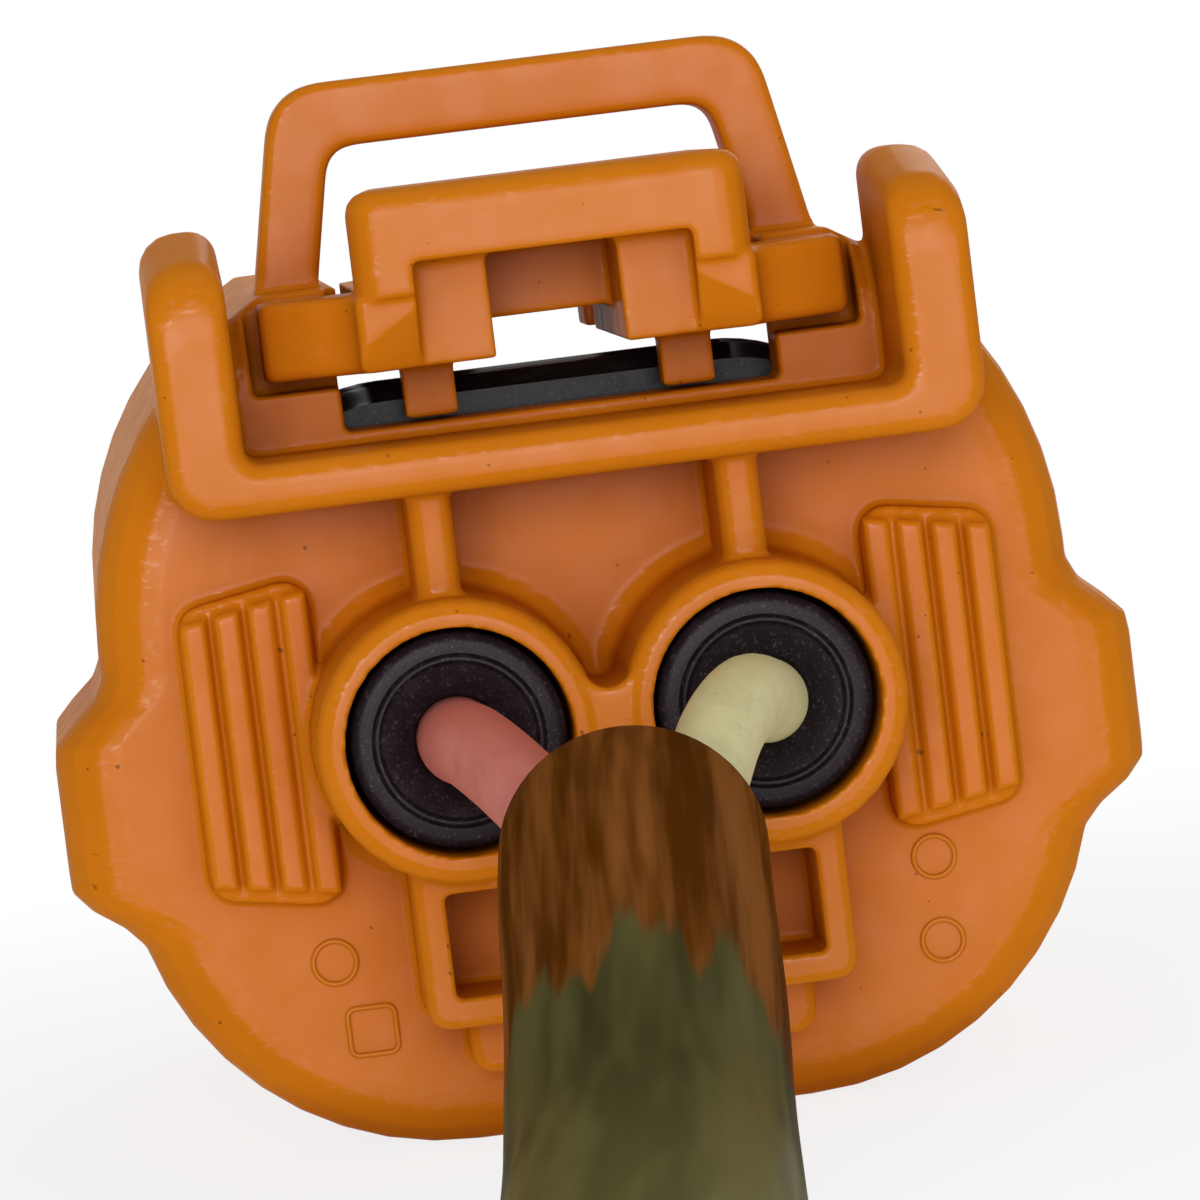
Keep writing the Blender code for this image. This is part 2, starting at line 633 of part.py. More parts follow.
def wire_passage(sign):
    """The round bore for a wire seal, and the square cavity for its terminal."""
    x = sign * PITCH / 2
    bore = prism(
        "bore", shifted(circle(COLLAR_BORE), x, AXIS_HEIGHT), "Y", REAR_Y - CUT_OVER, BORE_END_Y)
    cavity = box(
        "cavity", (x - CAVITY_HALF, x + CAVITY_HALF), (BORE_END_Y - EMBED, NOSE_FRONT_Y + CUT_OVER),
        (axis_z(-CAVITY_HALF), axis_z(CAVITY_HALF)))
    return [bore, cavity]


def latch_cuts():
    """The room for the latch: the window over the sill, the shoulder recess and the slot in the hood."""
    above = axis_z(BODY_TOP + CUT_OVER)
    behind = FLANGE_Y - EMBED
    window = box(
        "window", (-WINDOW_HALF_WIDTH, WINDOW_HALF_WIDTH), (behind, PLATE_FRONT_Y + EMBED),
        (axis_z(SILL), above))
    recess_half = LATCH_SHOULDER_HALF + CLEARANCE
    recess = box("recess", (-recess_half, recess_half), (behind, RECESS_END_Y), (axis_z(CHEEK_TOP), above))
    slot = box(
        "slot", (-SLOT_HALF_WIDTH, SLOT_HALF_WIDTH), (PLATE_FRONT_Y - EMBED, FRONT_Y + CUT_OVER),
        (axis_z(LATCH_BOTTOM), above))
    return [window, recess, slot]


def make_housing():
    """The one moulding that carries everything: hood, collars, tray, frame, tower, loop and finger pads."""
    body = hood()
    joined = [part for _, sign in sides() for part in (collar(sign), tray_ribs(sign))]
    joined += [tray(), collar_web(), *lower_frame(), *tower()]
    combine(body, joined, "UNION")
    hollows = [cut for _, sign in sides() for cut in (*wire_passage(sign), frame_pocket(sign))]
    combine(body, hollows, "DIFFERENCE")
    combine(body, latch_cuts(), "DIFFERENCE")
    combine(body, [loop(), *(grip_pad(sign) for _, sign in sides())], "UNION")
    return dress(body, "orange_plastic")


def latch_plan():
    """The latch seen from above: press pad, swept shoulders, then the beam that narrows to its nose."""
    shoulder_y = FLANGE_Y
    step_y = RECESS_END_Y - CLEARANCE
    half = [
        (LATCH_PAD_HALF, LATCH_PAD_Y + LATCH_ARM_SETBACK, 0),
        (LATCH_PAD_HALF, shoulder_y - LATCH_SHOULDER_SWEEP, LATCH_SHOULDER_SWEEP / 2),
        (LATCH_SHOULDER_HALF, shoulder_y - LATCH_SHOULDER_SWEEP / 2, LATCH_EDGE_ROUND),
        (LATCH_SHOULDER_HALF, step_y, LATCH_EDGE_ROUND),
        (LATCH_BEAM_HALF, step_y, LATCH_EDGE_ROUND),
        (LATCH_BEAM_HALF, LATCH_FRONT_Y - LATCH_NOSE_LENGTH, 0),
        (LATCH_NOSE_HALF, LATCH_FRONT_Y, LATCH_EDGE_ROUND)]
    return rounded_outline(half + [(-x, y, r) for x, y, r in reversed(half)])


def shoulder_relief(sign):
    """The slanting cut under one end of the pad, from the opening's edge out towards the shoulder."""
    corner = Vector((LATCH_OPENING_HALF, LATCH_PAD_Y + LATCH_ARM_SETBACK, axis_z(LATCH_BOTTOM)))
    reach = Vector((LATCH_RELIEF_WIDTH, LATCH_RELIEF_DEPTH, LATCH_RELIEF_HEIGHT))
    grown = 1 + sum(EMBED / size for size in reach)
    apex = corner - Vector((EMBED, EMBED, EMBED))
    bm = bmesh.new()
    points = [apex, *(apex + Vector((reach[i] * grown if i == k else 0 for i in range(3))) for k in range(3))]
    verts = [bm.verts.new((sign * x, y, z)) for x, y, z in points]
    for face in ((0, 1, 2), (0, 2, 3), (0, 3, 1), (1, 3, 2)):
        bm.faces.new([verts[k] for k in face])
    return from_bmesh("relief", bm)


def make_latch():
    """The rocking latch: it stands on two legs, its pad is pressed behind and its nose lifts in front."""
    arm = prism("latch_arm", latch_plan(), "Z", axis_z(LATCH_BOTTOM), axis_z(LATCH_TOP))
    round_edges(arm, LATCH_EDGE_ROUND, 2, lambda p: p.y < FLANGE_Y)
    pad_front = LATCH_PAD_Y + LATCH_PAD_LENGTH
    pad_top = axis_z(LATCH_PAD_TOP)
    plan = [
        (-LATCH_PAD_HALF, LATCH_PAD_Y, PAD_CORNER), (LATCH_PAD_HALF, LATCH_PAD_Y, PAD_CORNER),
        (LATCH_PAD_HALF - LATCH_PAD_TAPER, pad_front, 0), (LATCH_PAD_TAPER - LATCH_PAD_HALF, pad_front, 0)]
    pad = prism("pad", rounded_outline(plan), "Z", axis_z(LATCH_TOP - CLEARANCE / 2), pad_top)
    round_edges(pad, PAD_EDGE_ROUND, 3, lambda p: near(p.z, pad_top))
    legs = [
        box(
            "leg", sorted((sign * LATCH_LEG_INNER, sign * (LATCH_LEG_INNER + LATCH_LEG_WIDTH))),
            (LATCH_PIVOT_Y - LATCH_LEG_THICKNESS / 2, LATCH_PIVOT_Y + LATCH_LEG_THICKNESS / 2),
            (axis_z(LATCH_PIVOT), axis_z(LATCH_BOTTOM + EMBED)))
        for _, sign in sides()]
    combine(arm, [pad, *legs], "UNION")
    opening_top = axis_z(LATCH_PAD_TOP - LATCH_PAD_BAR)
    below = axis_z(LATCH_BOTTOM) - CUT_OVER
    opening = box(
        "opening", (-LATCH_OPENING_HALF, LATCH_OPENING_HALF),
        (LATCH_PAD_Y - CUT_OVER, LATCH_PAD_Y + LATCH_RAIL_SETBACK), (below, opening_top))
    notch = box(
        "notch", (-LATCH_RAIL_INNER, LATCH_RAIL_INNER),
        (LATCH_PAD_Y - CUT_OVER, LATCH_PAD_Y + LATCH_NOTCH_LENGTH), (below, opening_top))
    groove = box(
        "groove", (-LATCH_RAIL_INNER, LATCH_RAIL_INNER), (LATCH_PAD_Y, LATCH_FRONT_Y + CUT_OVER),
        (below, axis_z(LATCH_BOTTOM + LATCH_GROOVE_DEPTH)))
    catch_end = LATCH_FRONT_Y - LATCH_NOSE_LENGTH
    catch = box(
        "catch", (-LATCH_CATCH_HALF, LATCH_CATCH_HALF), (catch_end - LATCH_CATCH_LENGTH, catch_end),
        (below, axis_z(LATCH_TOP) + CUT_OVER))
    reliefs = [shoulder_relief(sign) for _, sign in sides()]
    combine(arm, [opening, notch, groove, catch, *reliefs], "DIFFERENCE")
    pivot = Vector((0, LATCH_PIVOT_Y, axis_z(LATCH_PIVOT)))
    for vertex in arm.data.vertices:
        vertex.co -= pivot
    arm.location = pivot
    return dress(arm, "orange_plastic")


def make_retainer():
    """The front cover that slides over the tower's nose and locks both terminals."""
    rear = NOSE_STEP_Y + CLEARANCE
    pocket_end = NOSE_FRONT_Y + CLEARANCE
    front = pocket_end + RETAINER_FACE
    cover = prism("front_retainer", tower_outline(0), "Y", rear, front)
    round_edges(cover, RETAINER_EDGE_ROUND, 2, lambda p: near(p.y, front))
    pocket = prism("pocket", tower_outline(CLEARANCE - NOSE_STEP), "Y", rear - CUT_OVER, pocket_end)
    blades = [
        box(
            "blade", (sign * PITCH / 2 - BLADE_HALF_WIDTH, sign * PITCH / 2 + BLADE_HALF_WIDTH),
            (pocket_end - EMBED, front + CUT_OVER), (axis_z(-BLADE_HALF_HEIGHT), axis_z(BLADE_HALF_HEIGHT)))
        for _, sign in sides()]
    combine(cover, [pocket, *blades], "DIFFERENCE")
    return dress(cover, "retainer_plastic")


def lipped(start, length, lips, body, lip):
    """The outer side of a lipped seal: a wave of lips between a body and a lip offset."""
    steps = round(8 * lips)
    middle, swing = (body + lip) / 2, (lip - body) / 2
    return [
        (middle - swing * cos(2 * pi * lips * k / steps), start + length * k / steps)
        for k in range(steps + 1)]


def make_interface_seal():
    """The lipped ring on the tower's root, in front of the flange."""
    rear = PLATE_FRONT_Y + CLEARANCE
    outside = lipped(rear, RING_LENGTH, RING_LIPS, RING_BODY + SEAL_CLEARANCE, RING_LIP + SEAL_CLEARANCE)
    inside = [(SEAL_CLEARANCE, rear + RING_LENGTH), (SEAL_CLEARANCE, rear)]
    return dress(ring("interface_seal", tower_outline, outside + inside), "ring_rubber")


def make_wire_seal(name, sign):
    """One wire seal: a lipped plug in the collar, and a neck that the terminal grips."""
    hole = WIRE_RADIUS + SEAL_CLEARANCE
    flat = [(SEAL_MOUTH_RADIUS, SEAL_REAR_Y), (SEAL_RADIUS, SEAL_REAR_Y)]
    lip_start = SEAL_REAR_Y + SEAL_MOUTH_DEPTH
    lips = lipped(lip_start, SEAL_FRONT_Y - lip_start, SEAL_LIPS, SEAL_RADIUS, SEAL_WAIST)
    neck = [
        (SEAL_NECK_RADIUS, SEAL_FRONT_Y), (SEAL_NECK_RADIUS, NECK_FRONT_Y), (hole, NECK_FRONT_Y),
        (hole, SEAL_REAR_Y + SEAL_MOUTH_DEPTH)]
    centre = sign * PITCH / 2
    seal = ring(
        "wire_seal_" + name, lambda r: shifted(circle(r), centre, AXIS_HEIGHT), flat + lips + neck)
    return dress(seal, "seal_rubber")


def barrel(inner, centre, start, end):
    """A rolled crimp barrel with its seam open at the top."""
    outer = inner + SHEET
    steps = TURN_STEPS // 2
    angles = [pi / 2 + BARREL_SEAM / 2 + (2 * pi - BARREL_SEAM) * k / steps for k in range(steps + 1)]
    outline = [(outer * cos(a), outer * sin(a)) for a in angles]
    outline += [(inner * cos(a), inner * sin(a)) for a in reversed(angles)]
    return prism("barrel", shifted(outline, centre, AXIS_HEIGHT), "Y", start, end)


def make_terminal(name, sign):
    """One sheet-metal terminal: a socket box, a core barrel and a barrel that grips the seal's neck."""
    x = sign * PITCH / 2
    socket = box(
        "terminal_" + name, (x - BOX_HALF_WIDTH, x + BOX_HALF_WIDTH), (BOX_REAR_Y, BOX_FRONT_Y),
        (axis_z(-BOX_HALF_HEIGHT), axis_z(BOX_HALF_HEIGHT)))
    inside = box(
        "inside", (x - BOX_HALF_WIDTH + SHEET, x + BOX_HALF_WIDTH - SHEET),
        (BOX_REAR_Y - CUT_OVER, BOX_FRONT_Y + CUT_OVER),
        (axis_z(-BOX_HALF_HEIGHT + SHEET), axis_z(BOX_HALF_HEIGHT - SHEET)))
    combine(socket, [inside], "DIFFERENCE")
    grip_inner = SEAL_NECK_RADIUS + SEAL_CLEARANCE
    core_inner = CORE_RADIUS + SEAL_CLEARANCE
    grip_rear = NECK_FRONT_Y - GRIP_BARREL_LENGTH
    levels = [
        (grip_rear, -grip_inner - SHEET), (NECK_FRONT_Y, -grip_inner - SHEET),
        (CORE_BARREL_Y, -core_inner - SHEET), (CORE_BARREL_END_Y, -core_inner - SHEET),
        (CORE_BARREL_END_Y + SHEET, -BOX_HALF_HEIGHT), (BOX_REAR_Y + EMBED, -BOX_HALF_HEIGHT)]
    lower = [(y, axis_z(z + STRIP_SINK)) for y, z in levels]
    outline = lower + [(y, z + STRIP_THICKNESS) for y, z in reversed(lower)]
    strip = prism("strip", outline, "X", x - STRIP_HALF_WIDTH, x + STRIP_HALF_WIDTH)
    grip = barrel(grip_inner, x, grip_rear, NECK_FRONT_Y)
    core = barrel(core_inner, x, CORE_BARREL_Y, CORE_BARREL_END_Y)
    combine(socket, [strip, grip, core], "UNION")
    return dress(socket, "tinned_brass")


def make_contact_spring(name, sign):
    """The bowed leaf on the floor of a terminal's socket."""
    x = sign * PITCH / 2
    rear, front = BOX_REAR_Y + LEAF_INSET, BOX_FRONT_Y - LEAF_INSET
    floor = -BOX_HALF_HEIGHT + SHEET + SEAL_CLEARANCE
    steps = 2 * CORNER_STEPS
    bow = [
        (rear + (front - rear) * k / steps, axis_z(floor + LEAF_RISE * sin(pi * k / steps)))
        for k in range(steps + 1)]
    outline = bow + [(y, z + LEAF_THICKNESS) for y, z in reversed(bow)]
    leaf = prism("contact_spring_" + name, outline, "X", x - LEAF_HALF_WIDTH, x + LEAF_HALF_WIDTH)
    return dress(leaf, "spring_steel")


def smooth_through(points, step):
    """Points about one step apart on a smooth curve through the given points."""
    ends = [2 * points[0] - points[1], *points, 2 * points[-1] - points[-2]]
    fine = []
    for a, b, c, d in zip(ends, ends[1:], ends[2:], ends[3:]):
        for k in range(24):
            t = k / 24
            fine.append(0.5 * (
                2 * b + (c - a) * t + (2 * a - 5 * b + 4 * c - d) * t * t + (3 * b - a - 3 * c + d) * t ** 3))
    fine.append(points[-1])
    along = [0.0]
    for a, b in zip(fine, fine[1:]):
        along.append(along[-1] + (b - a).length)
    count = max(2, round(along[-1] / step))
    found, i = [], 0
    for k in range(count + 1):
        want = along[-1] * k / count
        while i < len(fine) - 2 and along[i + 1] < want:
            i += 1
        share = (want - along[i]) / max(along[i + 1] - along[i], 1e-9)
        found.append(fine[i].lerp(fine[i + 1], share))
    return found


def placed(points):
    """Hand-chosen millimetre points, from the collar rims and the wire axis, as places in the frame."""
    return [Vector((x * MM, REAR_Y + y * MM, axis_z(z * MM))) for x, y, z in points]


def cord(name, points, radius, resolution):
    """A round cord: a curve with filled caps through the points."""
    curve = bpy.data.curves.new(name, "CURVE")
    curve.dimensions = "3D"
    curve.bevel_depth = radius
    curve.bevel_resolution = resolution
    curve.use_fill_caps = True
    spline = curve.splines.new("POLY")
    spline.points.add(len(points) - 1)
    for point, place in zip(spline.points, points):
        point.co = (*place, 1.0)
    obj = bpy.data.objects.new(name, curve)
    bpy.context.collection.objects.link(obj)
    return obj


def as_mesh(obj):
    """Turns a cord into a mesh object of the same name."""
    name = obj.name
    bpy.context.view_layer.update()
    mesh = bpy.data.meshes.new_from_object(obj.evaluated_get(bpy.context.evaluated_depsgraph_get()))
    bpy.data.objects.remove(obj)
    bm = bmesh.new()
    bm.from_mesh(mesh)
    bmesh.ops.remove_doubles(bm, verts=bm.verts, dist=WELD_DISTANCE)
    return from_bmesh(name, bm)


def sleeve_line():
    return smooth_through(placed(SLEEVE_ROUTE), CORD_STEP)


def make_sleeve():
    """The thin-walled sleeve over both wires."""
    line = sleeve_line()
    outside = as_mesh(cord("sleeve", line, SLEEVE_RADIUS, 4))
    before = line[0] + (line[0] - line[1]).normalized() * CUT_OVER
    after = line[-1] + (line[-1] - line[-2]).normalized() * CUT_OVER
    bore = as_mesh(cord("bore", [before, *line, after], SLEEVE_RADIUS - SLEEVE_WALL, 4))
    return dress(combine(outside, [bore], "DIFFERENCE"), "sleeve_vinyl")


def beside(line, shift):
    """The line moved sideways on the level by a shift, to the right of its run when positive."""
    moved = []
    for i, here in enumerate(line):
        run = line[min(i + 1, len(line) - 1)] - line[max(i - 1, 0)]
        moved.append(here + Vector((-run.y, run.x, 0)).normalized() * shift)
    return moved


def make_wire(name, sign, lead, end, finish):
    """One wire: straight through its seal, into the sleeve, along it, and out at the far end."""
    x = sign * PITCH / 2
    inside = [Vector((x, WIRE_END_Y, AXIS_HEIGHT)), Vector((x, SEAL_REAR_Y, AXIS_HEIGHT))]
    in_sleeve = beside(sleeve_line(), sign * WIRE_SPREAD)
    lead_in = smooth_through([inside[1], *placed(lead), in_sleeve[0]], CORD_STEP / 3)
    lead_out = smooth_through([in_sleeve[-1], *placed(end)], CORD_STEP)
    line = [inside[0], *lead_in[:-1], *in_sleeve, *lead_out[1:]]
    wire = dress(cord("wire_" + name, line, WIRE_RADIUS, 2), finish)
    run = (line[-1] - line[-2]).normalized()
    start = line[-1] + run * CLEARANCE
    tail = dress(cord("tail_" + name, [start, start + run * TAIL_LENGTH], CORE_RADIUS, 2), "bare_copper")
    core_y = (WIRE_END_Y + CLEARANCE, CORE_BARREL_END_Y + CORE_OVERHANG)
    core = prism(
        "conductor_" + name, shifted(circle(CORE_RADIUS, TURN_STEPS // 2), x, AXIS_HEIGHT), "Y", *core_y)
    return [wire, tail, dress(core, "bare_copper")]


def main():
    clear_scene()
    make_housing()
    make_latch()
    make_retainer()
    make_interface_seal()
    for name, sign in sides():
        make_wire_seal(name, sign)
        make_terminal(name, sign)
        make_contact_spring(name, sign)
    make_sleeve()
    make_wire("left", -1, LEFT_LEAD, LEFT_END, "pink_insulation")
    make_wire("right", 1, RIGHT_LEAD, RIGHT_END, "cream_insulation")


main()
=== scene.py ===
"""Dresses a sealed two-way plug connector: moulded orange housing and latch, dark seals, wires and sleeve.

Metres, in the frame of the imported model. +Y is the mating direction and +Z is up. The camera looks at the
wire side.
"""

from math import cos, pi, radians, sin, tan

import bmesh
import bpy
from bpy.props import FloatProperty, FloatVectorProperty, IntProperty, PointerProperty
from mathutils import Matrix, Vector


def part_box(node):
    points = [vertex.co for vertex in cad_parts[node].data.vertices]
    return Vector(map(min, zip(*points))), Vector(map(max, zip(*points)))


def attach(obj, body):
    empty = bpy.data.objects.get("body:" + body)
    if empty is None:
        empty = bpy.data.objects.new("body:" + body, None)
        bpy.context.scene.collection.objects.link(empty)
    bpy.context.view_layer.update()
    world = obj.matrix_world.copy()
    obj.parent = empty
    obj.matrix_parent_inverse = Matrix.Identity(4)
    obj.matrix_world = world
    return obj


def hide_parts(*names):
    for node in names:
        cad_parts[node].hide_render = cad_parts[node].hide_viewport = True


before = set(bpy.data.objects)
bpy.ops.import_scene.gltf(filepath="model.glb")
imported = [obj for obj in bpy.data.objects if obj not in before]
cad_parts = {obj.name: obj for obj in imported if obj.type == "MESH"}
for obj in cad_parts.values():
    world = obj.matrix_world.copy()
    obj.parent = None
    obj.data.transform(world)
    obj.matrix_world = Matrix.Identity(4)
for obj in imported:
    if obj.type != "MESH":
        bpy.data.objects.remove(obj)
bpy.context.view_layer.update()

bl_info = {
    "name": "Sealed plug dresser",
    "version": (1, 0, 0),
    "blender": (4, 5, 0),
    "location": "View3D > Sidebar > Plug",
    "description": "Gives a two-way sealed plug its moulded surfaces, seals, wires, sleeve and studio",
    "category": "Object",
}

MM = 0.001
SEAL_LOW, SEAL_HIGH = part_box("wire_seal_right")
WIRE_X = (SEAL_LOW.x + SEAL_HIGH.x) / 2
AXIS_Z = (SEAL_LOW.z + SEAL_HIGH.z) / 2
RIM_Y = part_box("housing")[0].y
COLLAR_LENGTH = 4.0 * MM
FLANGE_Y = RIM_Y + COLLAR_LENGTH
SEAL_RECESS = 0.45 * MM
SIDES = (("left", -1), ("right", 1))

# The guard loop is all of the housing that lies past this plane and above this height
LOOP_REAR = RIM_Y + 7.0 * MM
LOOP_FOOT = AXIS_Z + 10.5 * MM

# Middles and radii of the raised rings, and the middle of the raised square, on the flange's face:
# millimetres to the right of the plug's middle and above the wire axis
MARK_RINGS = (((7.27, -4.43), 0.48), ((7.25, -6.4), 0.48), ((-6.83, -5.07), 0.5))
MARK_SQUARE = (-6.15, -6.75)

# Middle of the sleeve from the collar rims and the wire axis, in millimetres
SLEEVE_ROUTE = [
    (-0.5, -8.0, -2.1), (-0.8, -11.0, -2.8), (-1.15, -15.0, -4.55), (-1.6, -19.0, -6.1),
    (-2.0, -23.5, -6.72), (-2.5, -29.0, -6.8), (-3.4, -37.0, -6.8), (-5.2, -46.0, -6.8),
    (-8.8, -55.0, -6.8), (-14.2, -62.5, -6.8), (-21.0, -68.0, -6.8),
]
# Free stretch of each wire between its seal and the sleeve, then past the sleeve's far end
LEADS = {
    "left": [(-3.5, -0.6, 0.05), (-3.3, -2.4, 0.05), (-2.7, -4.4, -0.5), (-2.0, -6.4, -1.35)],
    "right": [(3.35, -0.6, 0.15), (2.8, -2.4, 0.4), (2.0, -4.4, -0.05), (1.25, -6.4, -1.1)],
}
ENDS = {
    "left": [(-26.6, -70.9, -7.7), (-30.2, -72.2, -8.5), (-33.2, -73.0, -8.75), (-36.2, -73.6, -8.75)],
    "right": [(-24.2, -73.2, -7.7), (-26.9, -76.0, -8.5), (-29.0, -78.5, -8.75), (-31.0, -81.0, -8.75)],
}

# Place and width of each lamp, in metres
LAMPS = {
    "key": ((-0.05, -0.45, 0.06), 0.30),
    "rear": ((0.20, 0.42, 0.22), 0.30),
    "top": ((0.05, -0.05, 0.45), 0.35),
}
WHITE = (1, 1, 1, 1)


def length(name, default, description):
    """A size in metres."""
    return FloatProperty(
        name=name, default=default, subtype="DISTANCE", unit="LENGTH", description=description)


def tilt(name, degrees, description):
    """An angle of the camera."""
    return FloatProperty(
        name=name, default=radians(degrees), subtype="ANGLE", unit="ROTATION", description=description)


def power(name, default, description):
    """The power of a lamp in watts."""
    return FloatProperty(name=name, default=default, unit="POWER", description=description)


def passes(name, default, description):
    """A count of smoothing passes."""
    return IntProperty(name=name, default=default, min=0, description=description)


def colour(name, default, description):
    """A colour that a finish starts from."""
    return FloatVectorProperty(
        name=name, default=default, size=3, subtype="COLOR", min=0, max=1, description=description)


class MouldingSettings(bpy.types.PropertyGroup):
    """Sizes and colours of the moulded pieces."""
    grain: length("Surface step", 0.08 * MM, "Size of the cells that the moulded skin is rebuilt from")
    softening: passes("Softening", 3, "Passes that round edges and inner corners")
    loop_softening: passes("Loop softening", 45, "Further passes on the guard loop")
    kept_faces: FloatProperty(
        name="Kept faces", default=0.25, min=0.05, max=1, description="Share of the faces kept")
    orange: colour("Orange", (0.69, 0.207, 0.007), "Base colour of the nylon")
    orange_deep: colour("Deep orange", (0.66, 0.192, 0.006), "Colour of the nylon's darker clouds")
    # Painted shade: the colour that corners and recesses of the nylon are darkened towards
    orange_painted_shade: colour("Painted shade orange", (0.30, 0.065, 0.001), "Colour of the painted shade in narrow corners")
    # Painted sheen: a paler, pinker orange that stands in for the front light's reflection on faces square to
    # the plug's axis
    orange_painted_sheen: colour("Painted sheen orange", (0.76, 0.235, 0.055), "Colour of the pale bloom on flat faces")
    speck: colour("Speck", (0.06, 0.025, 0.008), "Colour of the few dark specks in the nylon")
    mark_line: length("Mark line", 0.07 * MM, "Half thickness of the raised lines on the flange")
    mark_sink: length("Mark sink", 0.02 * MM, "Depth of those lines' middle under the flange's face")
    square_half: length("Square mark", 0.55 * MM, "Half width of the raised square on the flange")
    square_corner: length("Square corner", 0.2 * MM, "Corner radius of that square")
    leg_bend: length("Latch legs", 0.6 * MM, "Stretch of the latch's legs that is drawn down to the sill")
    leg_reach: length("Latch feet", 0.2 * MM, "How far the latch's feet are drawn down")
    natural: colour("Natural nylon", (0.60, 0.57, 0.49), "Colour of the front cover")
    natural_deep: colour("Cloudy nylon", (0.52, 0.49, 0.41), "Colour of the front cover's darker clouds")
    tower_corner: length("Tower corner", 3.0 * MM, "Corner radius of the tower and its cover")
    cover_round: length("Cover edge", 0.5 * MM, "Rounding of the front cover's edge")
    cover_rim: length("Cover rim", 0.15 * MM, "Bevel at the front cover's open end")
    cover_wall: length("Cover wall", 1.0 * MM, "Wall of the front cover")
    cover_face: length("Cover face", 1.5 * MM, "Thickness of the front cover's face")
    slot_half_width: length("Slot width", 1.1 * MM, "Half width of a blade slot")
    slot_half_height: length("Slot height", 0.5 * MM, "Half height of a blade slot")
    slot_flare: length("Slot funnel", 0.4 * MM, "Depth of the funnel at a blade slot")


class SealSettings(bpy.types.PropertyGroup):
    """Sizes and colours of the rubber seals."""
    wire_gap: length("Wire gap", 0.02 * MM, "Gap between a wire and its seal")
    mouth_depth: length("Mouth depth", 0.62 * MM, "Depth of the funnel round a wire")
    mouth_knee: length("Mouth knee", 0.42 * MM, "Depth at which that funnel opens")
    mouth_step: length("Mouth step", 0.1 * MM, "Width of that funnel's throat, and its gap to the ring")
    edge_round: length("Seal edge", 0.22 * MM, "Rounding of a wire seal's outer edge")
    edge_drop: length("Seal edge drop", 0.05 * MM, "Drop of the face before that edge and into the funnel")
    edge_side: length("Seal edge side", 0.08 * MM, "Width of the edge's steeper half")
    shoulder: length("Seal shoulder", 0.6 * MM, "From a wire seal's face to its first lip")
    lip_depth: length("Lip depth", 0.4 * MM, "Depth of the valleys between a wire seal's lips")
    neck: length("Seal neck", 2.6 * MM, "Length of the neck that the terminal grips")
    neck_share: FloatProperty(
        name="Neck share", default=0.63, min=0, max=1, description="The neck's radius against the lips'")
    ring_radius: length("Ring radius", 1.86 * MM, "Middle of the fine ring in a wire seal's face")
    ring_width: length("Ring width", 0.26 * MM, "Width of that ring with its grooves")
    groove_width: length("Groove width", 0.1 * MM, "Width of each of the two grooves beside that ring")
    groove_depth: length("Groove depth", 0.09 * MM, "Depth of those grooves")
    tower_lip: length("Interface lip", 0.35 * MM, "Depth of the valleys beside the interface seal's lips")
    tower_wall: length("Interface wall", 1.0 * MM, "Thickness of the interface seal at its lips")
    tower_corner: length("Interface corner", 4.15 * MM, "Outer corner radius of the interface seal")
    rubber: colour("Wire seal", (0.017, 0.011, 0.015), "Colour of the wire seals")
    ring_rubber: colour("Interface seal", (0.010, 0.008, 0.008), "Colour of the ring on the tower")


class CordSettings(bpy.types.PropertyGroup):
    """Sizes and colours of the wires and the sleeve."""
    wire_radius: length("Wire radius", 0.95 * MM, "Outer radius of a wire")
    wire_length: length("Wire length", 100.0 * MM, "Length of a wire from inside its seal to its cut end")
    spread: length("Spread", 1.15 * MM, "Half the distance between the wires inside the sleeve")
    sleeve_radius: length("Sleeve radius", 2.9 * MM, "Outer radius of the sleeve")
    sleeve_wall: length("Sleeve wall", 0.3 * MM, "Wall of the sleeve")
    sleeve_length: length("Sleeve length", 68.0 * MM, "Length of the sleeve")
    strand_radius: length("Strand radius", 0.125 * MM, "Radius of one copper strand")
    strand_length: length("Strand length", 8.0 * MM, "Length of the bare strands at a cut end")
    strand_cut: length("Strand cut", 0.35 * MM, "How uneven the strands' cut ends are")
    pink: colour("Pink wire", (0.56, 0.145, 0.105), "Colour of the left wire")
    cream: colour("Cream wire", (0.71, 0.66, 0.33), "Colour of the right wire")
    vinyl: colour("Sleeve", (0.122, 0.110, 0.036), "Colour of the sleeve")
    # Painted reflection: the brownish colour on the sleeve's near end stands in for the orange plug's
    # reflection
    painted_reflection: colour("Painted reflection on sleeve", (0.28, 0.098, 0.020), "Colour of the painted reflection of the plug on the sleeve's near end")


class MetalSettings(bpy.types.PropertyGroup):
    """Colours of the terminals, their springs and the strands."""
    copper: colour("Copper", (0.78, 0.36, 0.18), "Colour of the clean strands")
    copper_dull: colour("Dull copper", (0.50, 0.20, 0.09), "Colour of the tarnished strands")
    tin: colour("Tin", (0.66, 0.63, 0.57), "Colour of the clean terminals")
    tin_dull: colour("Dull tin", (0.45, 0.41, 0.34), "Colour of the tarnished terminals")
    steel: colour("Steel", (0.52, 0.52, 0.53), "Colour of the clean springs")
    steel_dull: colour("Dull steel", (0.33, 0.32, 0.31), "Colour of the tarnished springs")


